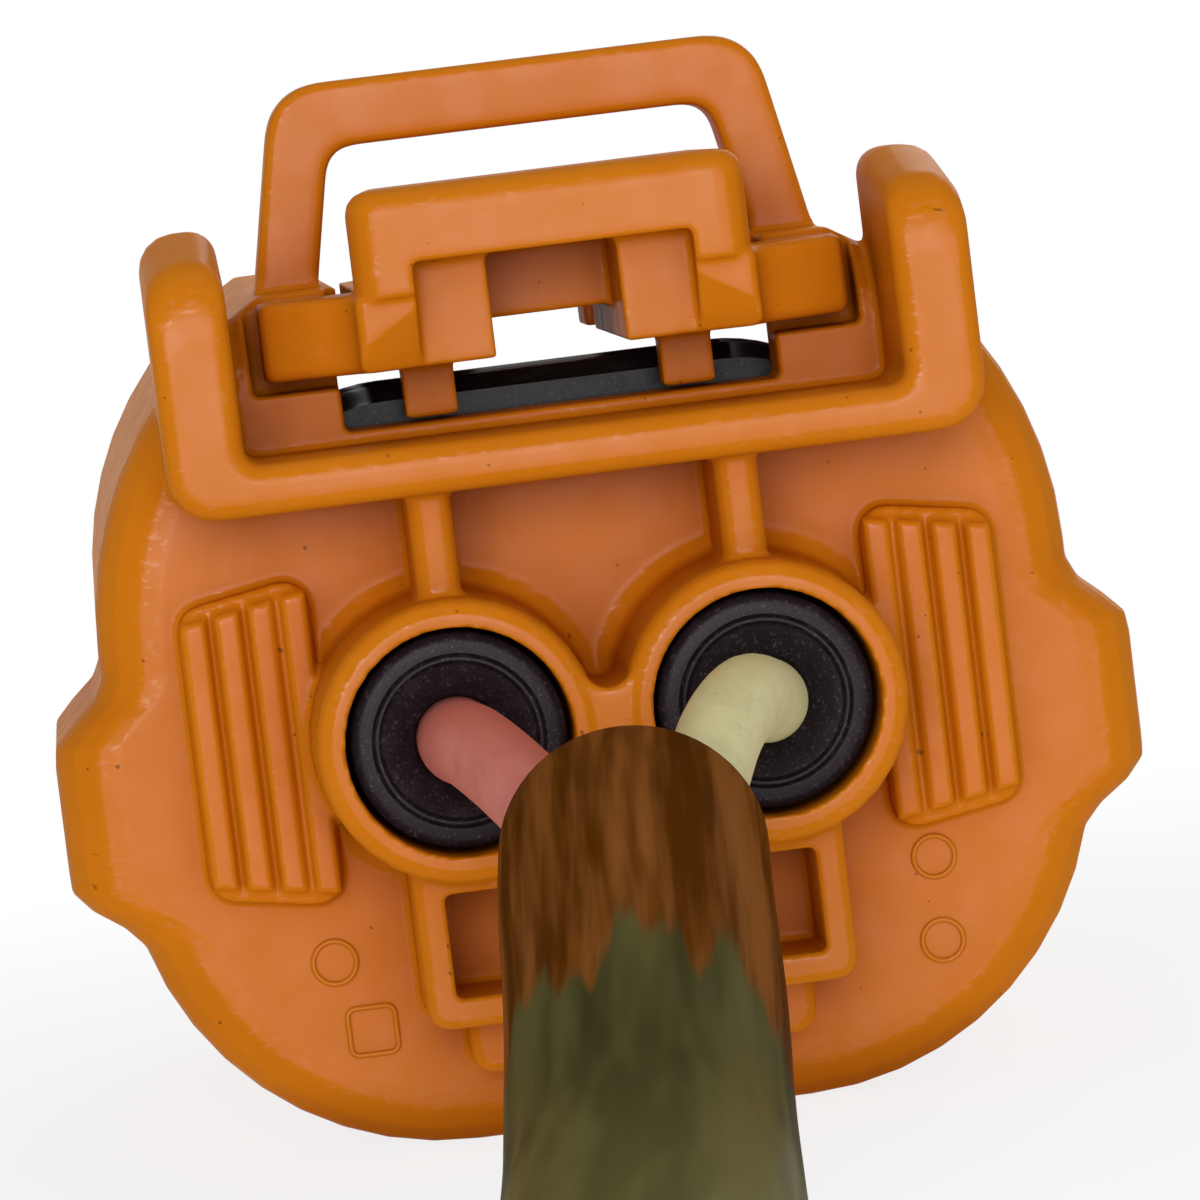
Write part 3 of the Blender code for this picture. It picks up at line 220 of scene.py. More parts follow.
class StageSettings(bpy.types.PropertyGroup):
    """Camera and light."""
    distance: length("Distance", 150.0 * MM, "From the collar rims to the camera, along the plug")
    azimuth: tilt("Azimuth", 4.0, "How far the camera stands to the left")
    elevation: tilt("Elevation", 5.5, "How far the camera stands above the wires")
    roll: tilt("Roll", 7.0, "Turn of the picture")
    aim_height: length("Aim", 2.79 * MM, "Height above the wire axis of the middle of the picture")
    picture_width: length("Picture width", 26.97 * MM, "What the picture spans at the collar rims")
    key_power: power("Key", 1.3, "Power of the large front light")
    top_power: power("Top", 0.2, "Power of the light overhead")
    rear_power: power("Rear", 0.7, "Power of the light on the mating side")
    sky: FloatProperty(name="Sky", default=0.28, description="Strength of the even light from all round")
    floor_reach: length("Floor", 1.5, "Half width of the floor")
    floor_shade: colour("Floor shade", (0.88, 0.88, 0.87), "Colour of the floor under the white")


class Value:
    """A socket of a finish, with arithmetic that adds Math nodes."""

    def __init__(self, finish, socket):
        self.finish = finish
        self.socket = socket

    def math(self, operation, first, second):
        """A Math node on two values."""
        return self.finish.node("ShaderNodeMath", {"operation": operation}, {0: first, 1: second})

    def __add__(self, other):
        return self.math("ADD", self, other)

    def __radd__(self, other):
        return self.math("ADD", other, self)

    def __sub__(self, other):
        return self.math("SUBTRACT", self, other)

    def __rsub__(self, other):
        return self.math("SUBTRACT", other, self)

    def __mul__(self, other):
        return self.math("MULTIPLY", self, other)

    def __rmul__(self, other):
        return self.math("MULTIPLY", other, self)

    def __pow__(self, other):
        return self.math("POWER", self, other)


class Finish:
    """The nodes of one procedural material, or of the sky."""

    def __init__(self, owner):
        owner.use_nodes = True
        self.owner = owner
        self.tree = owner.node_tree
        self.tree.nodes.clear()

    def node(self, kind, settings=None, sockets=None, output=0):
        """Adds a node of that kind, sets it up, fills its sockets and returns one of its outputs."""
        made = self.tree.nodes.new(kind)
        for key, value in (settings or {}).items():
            setattr(made, key, value)
        for key, value in (sockets or {}).items():
            if isinstance(value, Value):
                self.tree.links.new(value.socket, made.inputs[key])
            else:
                made.inputs[key].default_value = value
        return Value(self, made.outputs[output]) if made.outputs else made

    def place(self):
        """The place of a point in millimetres."""
        where = self.node("ShaderNodeTexCoord", output="Object")
        return self.node("ShaderNodeVectorMath", {"operation": "SCALE"}, {0: where, "Scale": 1 / MM})

    def cells(self, scale, detail=2.0, roughness=0.5, stretch=None, where=None):
        """Soft noise with that many features in a millimetre."""
        where = where or self.place()
        if stretch:
            where = self.node("ShaderNodeVectorMath", {"operation": "MULTIPLY"}, {0: where, 1: stretch})
        return self.node("ShaderNodeTexNoise", {}, {
            "Vector": where, "Scale": scale, "Detail": detail, "Roughness": roughness})

    def ramp(self, value, low, high):
        """The value spread from 0 at low to 1 at high."""
        return self.node("ShaderNodeMapRange", {"interpolation_type": "SMOOTHSTEP"}, {
            "Value": value, "From Min": low, "From Max": high})

    def mix(self, factor, first, second):
        """A colour between two."""
        sockets = {0: factor}
        for key, shade in ((6, first), (7, second)):
            sockets[key] = shade if isinstance(shade, Value) else (*shade, 1.0)
        return self.node("ShaderNodeMix", {"data_type": "RGBA"}, sockets, 2)

    def bump(self, height, strength, distance, under=None):
        """A surface raised by a height, on top of another bump where one is given."""
        sockets = {"Height": height, "Strength": strength, "Distance": distance}
        if under:
            sockets["Normal"] = under
        return self.node("ShaderNodeBump", {}, sockets)

    def close(self, sockets):
        """Ends the finish in a Principled shader with these sockets."""
        shader = self.node("ShaderNodeBsdfPrincipled", {}, sockets)
        self.node("ShaderNodeOutputMaterial", {}, {"Surface": shader})
        return self.owner


def new_finish(name):
    """An empty finish for a new material."""
    return Finish(bpy.data.materials.new(name))


def paint(obj, material):
    """Gives a piece its finish."""
    obj.data.materials.clear()
    obj.data.materials.append(material)


def moulded_orange(made):
    """Satin nylon: faint clouds, a painted pale sheen on the flat faces, painted shade in corners, specks and
    scuffed edges.
    """
    f = new_finish("moulded_orange")
    clouds = f.ramp(f.cells(0.35, 3.0), 0.35, 0.7)
    shade = f.mix(clouds, made.orange, made.orange_deep)
    turn = f.node("ShaderNodeTexCoord", output="Normal")
    square = f.node("ShaderNodeSeparateXYZ", {}, {0: turn}, "Y") ** 2.0
    flat = f.ramp(square, 0.90, 0.985)
    # Painted sheen: faces square to the plug's axis are mixed, in soft patches, towards a paler, pinker
    # orange in place of a reflection; the same patches vary the coat
    patches = f.ramp(f.cells(0.9, 5.0, 0.6), 0.35, 0.7)
    shade = f.mix(flat * (0.65 + 0.35 * patches), shade, made.orange_painted_sheen)
    # Painted shade: ambient occlusion darkens the colour in corners and recesses, and also thins the coat
    # there
    painted_shade_ao = f.node("ShaderNodeAmbientOcclusion", {"samples": 8}, {"Distance": 2.1 * MM}, "AO")
    shade = f.mix((1.0 - painted_shade_ao) * 0.8, shade, made.orange_painted_shade)
    specks = f.ramp(f.cells(4.5, 0.0), 0.85, 0.87)
    shade = f.mix(specks * 0.55, shade, made.speck)
    edge = f.ramp(square, 0.75, 0.9) * (1.0 - f.ramp(square, 0.94, 0.99))
    scuffs = edge * f.ramp(f.cells(7.0, 3.0, 0.6, (0.4, 1.0, 1.0)), 0.55, 0.62)
    shine = painted_shade_ao * (0.07 + flat * (0.1 + 0.1 * patches) + 0.7 * scuffs)
    dull = f.ramp(f.cells(1.3, 4.0), 0.3, 0.7)
    grain = f.cells(9.0, 3.0)
    waves = f.cells(0.8, 2.0)
    normal = f.bump(waves, 0.12, 0.03 * MM, f.bump(grain, 0.10, 0.01 * MM))
    return f.close({
        "Base Color": shade, "Roughness": 0.27 + 0.15 * dull, "Normal": normal,
        "Subsurface Weight": 0.12, "Subsurface Radius": (1.0, 0.35, 0.05), "Subsurface Scale": 0.6 * MM,
        "IOR": 1.02, "Coat Weight": shine, "Coat Roughness": 0.22})


def seal_rubber(name, shade, roughness):
    """Dark silicone rubber with dusty patches."""
    f = new_finish(name)
    patches = f.ramp(f.cells(1.6, 5.0, 0.65), 0.45, 0.75)
    tone = f.mix(patches * 0.6, shade, [c * 2.2 + 0.006 for c in shade])
    dust = f.ramp(f.cells(11.0, 2.0, 0.6), 0.56, 0.72)
    tone = f.mix(dust * (0.4 + 0.6 * patches), tone, [c * 6.0 + 0.035 for c in shade])
    normal = f.bump(f.cells(14.0, 3.0), 0.15, 0.01 * MM)
    return f.close({
        "Base Color": tone, "Roughness": roughness + 0.15 * patches, "Normal": normal,
        "Specular IOR Level": 0.18})


def insulation(name, shade):
    """Extruded insulation: a little cloudy and mottled, with faint handling marks."""
    f = new_finish(name)
    clouds = f.ramp(f.cells(0.9, 4.0, 0.6), 0.35, 0.75)
    tone = f.mix(clouds * 0.5, shade, [c * 0.72 for c in shade])
    mottle = f.ramp(f.cells(4.0, 4.0, 0.7), 0.35, 0.65)
    tone = f.mix(mottle * 0.15, tone, [min(1.0, c * 1.25 + 0.03) for c in shade])
    smudge = f.ramp(f.cells(1.7, 5.0, 0.7), 0.60, 0.75)
    tone = f.mix(smudge * 0.35, tone, [c * 0.45 for c in shade])
    normal = f.bump(f.cells(4.0, 4.0), 0.12, 0.02 * MM)
    return f.close({
        "Base Color": tone, "Roughness": 0.42 + 0.18 * clouds, "Normal": normal,
        "Subsurface Weight": 0.1, "Subsurface Radius": (0.8, 0.4, 0.3), "Subsurface Scale": 0.4 * MM})


def sleeve_vinyl(shade, painted_reflection):
    """Dark vinyl with long extrusion streaks, and a painted reflection of the orange plug in ragged brownish
    tongues next to the plug.
    """
    f = new_finish("sleeve_vinyl")
    run = f.node("ShaderNodeAttribute", {"attribute_name": "run"}, output="Vector")
    top = f.node("ShaderNodeSeparateXYZ", {}, {0: run}, "Y")
    along = f.node("ShaderNodeSeparateXYZ", {}, {0: run}, "Z")
    streaks = f.ramp(f.cells(2.2, 2.0, 0.6, (1.0, 1.0, 0.03), run), 0.35, 0.65)
    tone = f.mix(streaks, shade, [c * 0.5 for c in shade])
    paler = f.mix(streaks, [c * 1.5 for c in shade], shade)
    tone = f.mix(f.ramp(along, 10.0, 36.0), tone, paler)
    grain = f.ramp(f.cells(3.4, 3.0, 0.6, (1.0, 1.0, 0.03), run), 0.35, 0.65)
    # Painted reflection of the orange plug: brownish ragged tongues next to the plug, reaching further along
    # the sleeve's top
    painted_reflection_tone = f.mix(grain, painted_reflection, [c * part for c, part in zip(painted_reflection, (0.36, 0.3, 0.1))])
    tongues = f.cells(2.6, 2.0, 0.6, (1.0, 1.0, 0.02), run)
    painted_reflection_mask = f.ramp(12.0 - 2.4 * top + 10.0 * (tongues - 0.5) - along, -0.3, 1.2)
    tone = f.mix(painted_reflection_mask, tone, painted_reflection_tone)
    normal = f.bump(f.cells(1.5, 2.0, 0.5, (1.0, 1.0, 0.05), run), 0.15, 0.06 * MM)
    return f.close({"Base Color": tone, "Roughness": 0.26 + 0.12 * streaks, "Normal": normal, "IOR": 1.012})


def natural_nylon(made):
    """The uncoloured nylon of the front cover."""
    f = new_finish("natural_nylon")
    clouds = f.ramp(f.cells(0.5, 3.0), 0.35, 0.7)
    tone = f.mix(clouds, made.natural, made.natural_deep)
    normal = f.bump(f.cells(8.0, 3.0), 0.1, 0.01 * MM)
    return f.close({"Base Color": tone, "Roughness": 0.38 + 0.12 * clouds, "Normal": normal})


def rolled_metal(name, bright, dull, roughness):
    """Sheet or strand metal with drawn lines along the plug and a little tarnish."""
    f = new_finish(name)
    lines = f.cells(6.0, 3.0, 0.5, (1.0, 0.05, 1.0))
    tarnish = f.ramp(f.cells(1.2, 4.0), 0.4, 0.75)
    normal = f.bump(lines, 0.15, 0.01 * MM)
    return f.close({
        "Base Color": f.mix(tarnish, bright, dull), "Metallic": 1.0,
        "Roughness": roughness + 0.15 * tarnish, "Normal": normal})


def new_object(name, mesh, body):
    """A new piece that rides on a body."""
    obj = bpy.data.objects.new(name, mesh)
    bpy.context.scene.collection.objects.link(obj)
    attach(obj, body)
    return obj


def scratch_object(name, data):
    """An object that is only used to make a mesh."""
    obj = bpy.data.objects.new(name, data)
    bpy.context.scene.collection.objects.link(obj)
    return obj


def evaluated_mesh(obj):
    """The mesh of an object with its modifiers applied."""
    bpy.context.view_layer.update()
    return bpy.data.meshes.new_from_object(obj.evaluated_get(bpy.context.evaluated_depsgraph_get()))


def add_softening(obj, times, group=""):
    """Adds passes that round an object's edges, all over or in one group of its points."""
    soften = obj.modifiers.new("Soften", "SMOOTH")
    soften.factor = 0.5
    soften.iterations = times
    soften.vertex_group = group


def moulded_skin(name, node, made, rounder=None):
    """A smooth skin round a solid of the frame, softened further where rounder says so, and thinned out."""
    rough = scratch_object(name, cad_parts[node].data.copy())
    remesh = rough.modifiers.new("Skin", "REMESH")
    remesh.mode = "VOXEL"
    remesh.voxel_size = made.grain
    add_softening(rough, made.softening)
    if rounder:
        rough.data = evaluated_mesh(rough)
        rough.modifiers.clear()
        group = rough.vertex_groups.new(name="rounder")
        group.add([vertex.index for vertex in rough.data.vertices if rounder(vertex.co)], 1.0, "REPLACE")
        add_softening(rough, made.loop_softening, group.name)
    thin = rough.modifiers.new("Thin out", "DECIMATE")
    thin.ratio = made.kept_faces
    skin = evaluated_mesh(rough)
    bpy.data.objects.remove(rough)
    skin.shade_smooth()
    return skin


def flange_place(x, height, made):
    """A place just under the flange's face, in millimetres from the middle and from the wire axis."""
    return Vector((x * MM, FLANGE_Y + made.mark_sink, AXIS_Z + height * MM))


def ring_points(centre, radius, steps=48):
    """A ring on the flange's face."""
    angles = [2 * pi * k / steps for k in range(steps)]
    return [centre + Vector((radius * cos(a), 0, radius * sin(a))) for a in angles]


def square_points(centre, half, corner, steps=8):
    """A rounded square on the flange's face."""
    points = []
    for quarter in range(4):
        turn = pi / 2 * quarter
        middle = Vector((cos(turn) - sin(turn), 0, sin(turn) + cos(turn))) * (half - corner)
        for k in range(steps + 1):
            angle = turn + pi / 2 * k / steps
            points.append(centre + middle + Vector((cos(angle), 0, sin(angle))) * corner)
    return points


def closed_lines(name, outlines, radius):
    """Thin raised lines along closed outlines."""
    curve = bpy.data.curves.new(name, "CURVE")
    curve.dimensions = "3D"
    curve.bevel_depth = radius
    curve.bevel_resolution = 3
    for outline in outlines:
        spline = curve.splines.new("POLY")
        spline.use_cyclic_u = True
        spline.points.add(len(outline) - 1)
        for point, place in zip(spline.points, outline):
            point.co = (*place, 1.0)
    line = scratch_object(name, curve)
    mesh = evaluated_mesh(line)
    bpy.data.objects.remove(line)
    mesh.shade_smooth()
    return mesh


def round_loop(bm, centre, side, up, radius, steps):
    """A ring of points round a centre."""
    angles = [2 * pi * k / steps for k in range(steps)]
    return [bm.verts.new(centre + (side * cos(a) + up * sin(a)) * radius) for a in angles]


def tower_loop(bm, low, high, corner, offset, y, steps=16):
    """A loop of points along the tower's rounded outline, grown by an offset from a box."""
    half, middle = (high - low) / 2, (high + low) / 2
    loop = []
    for quarter, (sx, sz) in enumerate(((1, 1), (-1, 1), (-1, -1), (1, -1))):
        for k in range(steps + 1):
            angle = pi / 2 * (quarter + k / steps)
            loop.append(bm.verts.new((
                middle.x + sx * (half.x - corner) + (corner + offset) * cos(angle), y,
                middle.z + sz * (half.z - corner) + (corner + offset) * sin(angle))))
    return loop


def join_loops(bm, loops, closed=False):
    """Faces between loops of the same count: back to the first when closed, with flat ends otherwise."""
    following = loops[1:] + loops[:1] if closed else loops[1:]
    for this, after in zip(loops, following):
        for k in range(len(this)):
            bm.faces.new((this[k - 1], this[k], after[k], after[k - 1]))
    if not closed:
        bm.faces.new(loops[0])
        bm.faces.new(loops[-1])


def mesh_of(name, bm, sharp=radians(50)):
    """Ends a mesh with its faces turned outwards and shaded smooth, up to a sharp angle."""
    bmesh.ops.recalc_face_normals(bm, faces=bm.faces)
    mesh = bpy.data.meshes.new(name)
    bm.to_mesh(mesh)
    bm.free()
    mesh.shade_smooth()
    mesh.set_sharp_from_angle(angle=sharp)
    return mesh


def turned(name, profile, centre, steps=96):
    """A closed turned mesh round an axis along Y, from (radius, y) points that end where they start."""
    bm = bmesh.new()
    side, up = Vector((1, 0, 0)), Vector((0, 0, 1))
    loops = [
        round_loop(bm, Vector((centre.x, y, centre.z)), side, up, radius, steps) for radius, y in profile]
    join_loops(bm, loops, closed=True)
    return mesh_of(name, bm)


def run_lengths(points):
    """How far along the points each of them is."""
    along = [0.0]
    for here, after in zip(points, points[1:]):
        along.append(along[-1] + (after - here).length)
    return along


def smooth_through(points, step, parts=24):
    """Points about one step apart on a smooth curve through the given points."""
    ends = [2 * points[0] - points[1], *points, 2 * points[-1] - points[-2]]
    fine = []
    for a, b, c, d in zip(ends, ends[1:], ends[2:], ends[3:]):
        for k in range(parts):
            t = k / parts
            fine.append(0.5 * (
                2 * b + (c - a) * t + (2 * a - 5 * b + 4 * c - d) * t * t + (3 * b - a - 3 * c + d) * t ** 3))
    fine.append(points[-1])
    along = run_lengths(fine)
    count = max(2, round(along[-1] / step))
    found, i = [], 0
    for k in range(count + 1):
        want = along[-1] * k / count
        while i < len(fine) - 2 and along[i + 1] < want:
            i += 1
        share = (want - along[i]) / max(along[i + 1] - along[i], 1e-9)
        found.append(fine[i].lerp(fine[i + 1], share))
    return found


def placed(points):
    """Millimetre points, from the collar rims and the wire axis, as places in the frame."""
    return [Vector((x * MM, RIM_Y + y * MM, AXIS_Z + z * MM)) for x, y, z in points]


def sleeve_line():
    """The middle of the sleeve."""
    return smooth_through(placed(SLEEVE_ROUTE), 1.0 * MM)


def beside(line, shift):
    """The line moved sideways on the level by a shift, to the right of its run when positive."""
    moved = []
    for i, here in enumerate(line):
        run = line[min(i + 1, len(line) - 1)] - line[max(i - 1, 0)]
        moved.append(here + Vector((-run.y, run.x, 0)).normalized() * shift)
    return moved


def wire_line(name, sign, made):
    """The run of one wire: through its seal, into the sleeve, along it and out at the far end."""
    start = Vector((sign * WIRE_X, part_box("wire_left")[1].y, AXIS_Z))
    mouth = Vector((sign * WIRE_X, RIM_Y + SEAL_RECESS, AXIS_Z))
    in_sleeve = beside(sleeve_line(), sign * made.spread)
    lead_in = smooth_through([mouth, *placed(LEADS[name]), in_sleeve[0]], 0.4 * MM)
    lead_out = smooth_through([in_sleeve[-1], *placed(ENDS[name])], 0.8 * MM)
    return [start, *lead_in[:-1], *in_sleeve, *lead_out[1:]]


def cross_frames(line):
    """Two sideways directions at each point of a line, without twist."""
    frames = []
    side = Vector((1, 0, 0))
    for i in range(len(line)):
        run = (line[min(i + 1, len(line) - 1)] - line[max(i - 1, 0)]).normalized()
        side = (side - run * side.dot(run)).normalized()
        frames.append((side, run.cross(side)))
    return frames


def tube(bm, line, radius, steps):
    """A round rod along a line, with flat ends."""
    loops = [
        round_loop(bm, here, side, up, radius, steps) for here, (side, up) in zip(line, cross_frames(line))]
    join_loops(bm, loops)


def strand_bundle(name, start, run, made):
    """Bare twisted strands at a wire's cut end: one, six and twelve, opening a little towards the tip."""
    across = run.cross(Vector((0, 0, 1))).normalized()
    up = across.cross(run)
    steps, sides, twist, opening, play = 16, 8, 1.1, 0.02, 0.97
    bm = bmesh.new()
    for layer, (count, hand) in enumerate(((1, 1), (6, -1), (12, 1))):
        for k in range(count):
            reach = made.strand_length - abs(made.strand_cut * sin(k * 2.4 + layer))
            line = []
            for t in (step / steps for step in range(steps + 1)):
                angle = 2 * pi * k / count + hand * twist * t
                radius = 2.0 * made.strand_radius * layer * (1.0 + opening * t)
                line.append(start + run * (reach * t) + (across * cos(angle) + up * sin(angle)) * radius)
            tube(bm, line, made.strand_radius * play, sides)
    return mesh_of(name, bm)


class PLUG_OT_stage(bpy.types.Operator):
    """Sets the camera at the photograph's viewing angle, and the floor, sky and soft lights"""
    bl_idname = "plug.stage"
    bl_label = "Stage"

    def execute(self, context):
        scene = context.scene
        made = scene.plug_stage
        scene.view_settings.view_transform = "Standard"
        self.camera(scene, made)
        self.floor(scene, made)
        self.sky(scene, made)
        for name, (place, width) in LAMPS.items():
            self.lamp(scene, name + "_light", place, width, getattr(made, name + "_power"))
        return {"FINISHED"}

    def camera(self, scene, made):
        """A long lens, turned about its axis, that looks a little above the wires."""
        rims = Vector((0, RIM_Y, AXIS_Z))
        eye = rims + Vector((-tan(made.azimuth), -1, tan(made.elevation))) * made.distance
        aim = rims + Vector((0, 0, made.aim_height))
        ahead = (aim - eye).normalized()
        right = ahead.cross(Vector((0, 0, 1))).normalized()
        upright = Matrix((right, right.cross(ahead), -ahead)).transposed()
        camera = bpy.data.objects.new("camera", bpy.data.cameras.new("camera"))
        camera.location = eye
        camera.rotation_euler = (upright @ Matrix.Rotation(-made.roll, 3, "Z")).to_euler()
        camera.data.sensor_width = 36
        camera.data.lens = camera.data.sensor_width * (aim - eye).length / made.picture_width
        camera.data.clip_start = 5 * MM
        scene.collection.objects.link(camera)
        scene.camera = camera

    def floor(self, scene, made):
        """A pale floor that turns white away from the plug, and keeps the plug's shadow."""
        bm = bmesh.new()
        bmesh.ops.create_grid(bm, x_segments=8, y_segments=8, size=made.floor_reach)
        floor = bpy.data.objects.new("floor", mesh_of("floor", bm))
        scene.collection.objects.link(floor)
        f = new_finish("pale_floor")
        away = f.node("ShaderNodeVectorMath", {"operation": "LENGTH"}, {0: f.place()}, "Value")
        matt = f.node("ShaderNodeBsdfDiffuse", {}, {"Color": (*made.floor_shade, 1)})
        white = f.node("ShaderNodeEmission", {}, {"Color": WHITE, "Strength": 1.0})
        fade = 0.35 + self.seen(f) * (0.48 + 0.17 * f.ramp(away, 15, 60))
        blend = f.node("ShaderNodeMixShader", {}, {0: fade, 1: matt, 2: white})
        f.node("ShaderNodeOutputMaterial", {}, {"Surface": blend})
        floor.data.materials.append(f.owner)

    def seen(self, f):
        """1 for rays that show the background: straight, mirrored or seen through glass."""
        kinds = ("Is Camera Ray", "Is Glossy Ray", "Is Transmission Ray")
        straight, mirrored, through = [f.node("ShaderNodeLightPath", output=kind) for kind in kinds]
        return f.node("ShaderNodeClamp", {}, {"Value": straight + mirrored + through})

    def sky(self, scene, made):
        """Even light from all round, behind which the background is white."""
        f = Finish(bpy.data.worlds.new("soft_sky"))
        strength = made.sky + (1 - made.sky) * self.seen(f)
        light = f.node("ShaderNodeBackground", {}, {"Color": WHITE, "Strength": strength})
        f.node("ShaderNodeOutputWorld", {}, {"Surface": light})
        scene.world = f.owner

    def lamp(self, scene, name, place, width, watts):
        """A round soft light that faces the collar rims."""
        data = bpy.data.lights.new(name, "AREA")
        data.shape = "DISK"
        data.size = width
        data.energy = watts
        lamp = bpy.data.objects.new(name, data)
        lamp.location = place
        aim = Vector((0, RIM_Y, AXIS_Z)) - lamp.location
        lamp.rotation_euler = aim.to_track_quat("-Z", "Y").to_euler()
        scene.collection.objects.link(lamp)


class PLUG_OT_wires(bpy.types.Operator):
    """Makes both wires along their runs, with bare strands at their cut ends"""
    bl_idname = "plug.wires"
    bl_label = "Wires"
    sides = 40

    def execute(self, context):
        made = context.scene.plug_cords
        metals = context.scene.plug_metals
        copper = rolled_metal("copper_strands", metals.copper, metals.copper_dull, 0.28)
        coats = {"left": ("pink_insulation", made.pink), "right": ("cream_insulation", made.cream)}
        for name, sign in SIDES:
            line = wire_line(name, sign, made)
            coat, shade = coats[name]
            bm = bmesh.new()
            tube(bm, line, made.wire_radius, self.sides)
            wire = new_object("insulated_wire_" + name, mesh_of("insulated_wire_" + name, bm), "plug")
            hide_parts("wire_" + name)
            paint(wire, insulation(coat, shade))
            run = (line[-1] - line[-2]).normalized()
            strands = strand_bundle("strands_" + name, line[-1], run, made)
            tail = new_object("strands_" + name, strands, "plug")
            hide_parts("tail_" + name)
            paint(tail, copper)
        return {"FINISHED"}


class PLUG_OT_sleeve(bpy.types.Operator):
    """Makes the thin glossy sleeve over both wires, with rounded lips"""
    bl_idname = "plug.sleeve"
    bl_label = "Sleeve"
    sides = 64
    lip_steps = 6

    def execute(self, context):
        made = context.scene.plug_cords
        line = sleeve_line()
        sleeve = new_object("vinyl_sleeve", self.hollow_tube(line, made), "plug")
        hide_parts("sleeve")
        paint(sleeve, sleeve_vinyl(made.vinyl, made.painted_reflection))
        return {"FINISHED"}

    def hollow_tube(self, line, made):
        """The sleeve's wall, which keeps each point's turn round the sleeve and its way along it."""
        half = made.sleeve_wall / 2
        frames, along = cross_frames(line), run_lengths(line)
        near, far = (line[1] - line[0]).normalized(), (line[-1] - line[-2]).normalized()
        turns = [2 * pi * k / self.sides for k in range(self.sides)]
        bm = bmesh.new()
        loops, places = [], []
        for i, beyond, out in self.stations(len(line), half):
            run = near if beyond < 0 else far
            radius = made.sleeve_radius - half + out
            loops.append(round_loop(bm, line[i] + run * beyond, *frames[i], radius, self.sides))
            places += [(cos(turn), sin(turn), (along[i] + beyond) / MM) for turn in turns]
        join_loops(bm, loops, closed=True)
        mesh = mesh_of("vinyl_sleeve", bm)
        layer = mesh.attributes.new("run", "FLOAT_VECTOR", "POINT")
        layer.data.foreach_set("vector", [number for place in places for number in place])
        return mesh

    def stations(self, count, half):
        """Where the wall's loops lie: point of the line, way beyond it, way off the wall's middle."""
        turns = [pi * k / self.lip_steps for k in range(1, self.lip_steps)]
        outside = [(i, 0, half) for i in range(count)]
        far_lip = [(count - 1, half * sin(turn), half * cos(turn)) for turn in turns]
        inside = [(i, 0, -half) for i in reversed(range(count))]
        near_lip = [(0, -half * sin(turn), -half * cos(turn)) for turn in turns]
        return outside + far_lip + inside + near_lip


class PLUG_OT_housing(bpy.types.Operator):
    """Makes the moulded housing with its soft edges, and the plain raised marks on its flange"""
    bl_idname = "plug.housing"
    bl_label = "Housing"

    def execute(self, context):
        made = context.scene.plug_moulding
        orange = moulded_orange(made)
        skin = moulded_skin("moulded_housing", "housing", made, self.in_loop)
        shell = new_object("moulded_housing", skin, "plug")
        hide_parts("housing")
        paint(shell, orange)
        outlines = [ring_points(flange_place(*place, made), radius * MM) for place, radius in MARK_RINGS]
        outlines.append(square_points(flange_place(*MARK_SQUARE, made), made.square_half, made.square_corner))
        marks = new_object("flange_marks", closed_lines("flange_marks", outlines, made.mark_line), "plug")
        paint(marks, orange)
        return {"FINISHED"}

    def in_loop(self, place):
        """Whether a point belongs to the guard loop behind the latch."""
        return place.y > LOOP_REAR and place.z > LOOP_FOOT


class PLUG_OT_latch(bpy.types.Operator):
    """Makes the moulded latch arm, whose two legs reach down to the sill"""
    bl_idname = "plug.latch"
    bl_label = "Latch arm"

    def execute(self, context):
        made = context.scene.plug_moulding
        skin = moulded_skin("moulded_latch", "latch_arm", made)
        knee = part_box("latch_arm")[0].z + made.leg_bend
        for vertex in skin.vertices:
            if vertex.co.z < knee:
                vertex.co.z -= made.leg_reach * (knee - vertex.co.z) / made.leg_bend
        latch = new_object("moulded_latch", skin, "latch")
        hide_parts("latch_arm")
        paint(latch, bpy.data.materials["moulded_orange"])
        return {"FINISHED"}


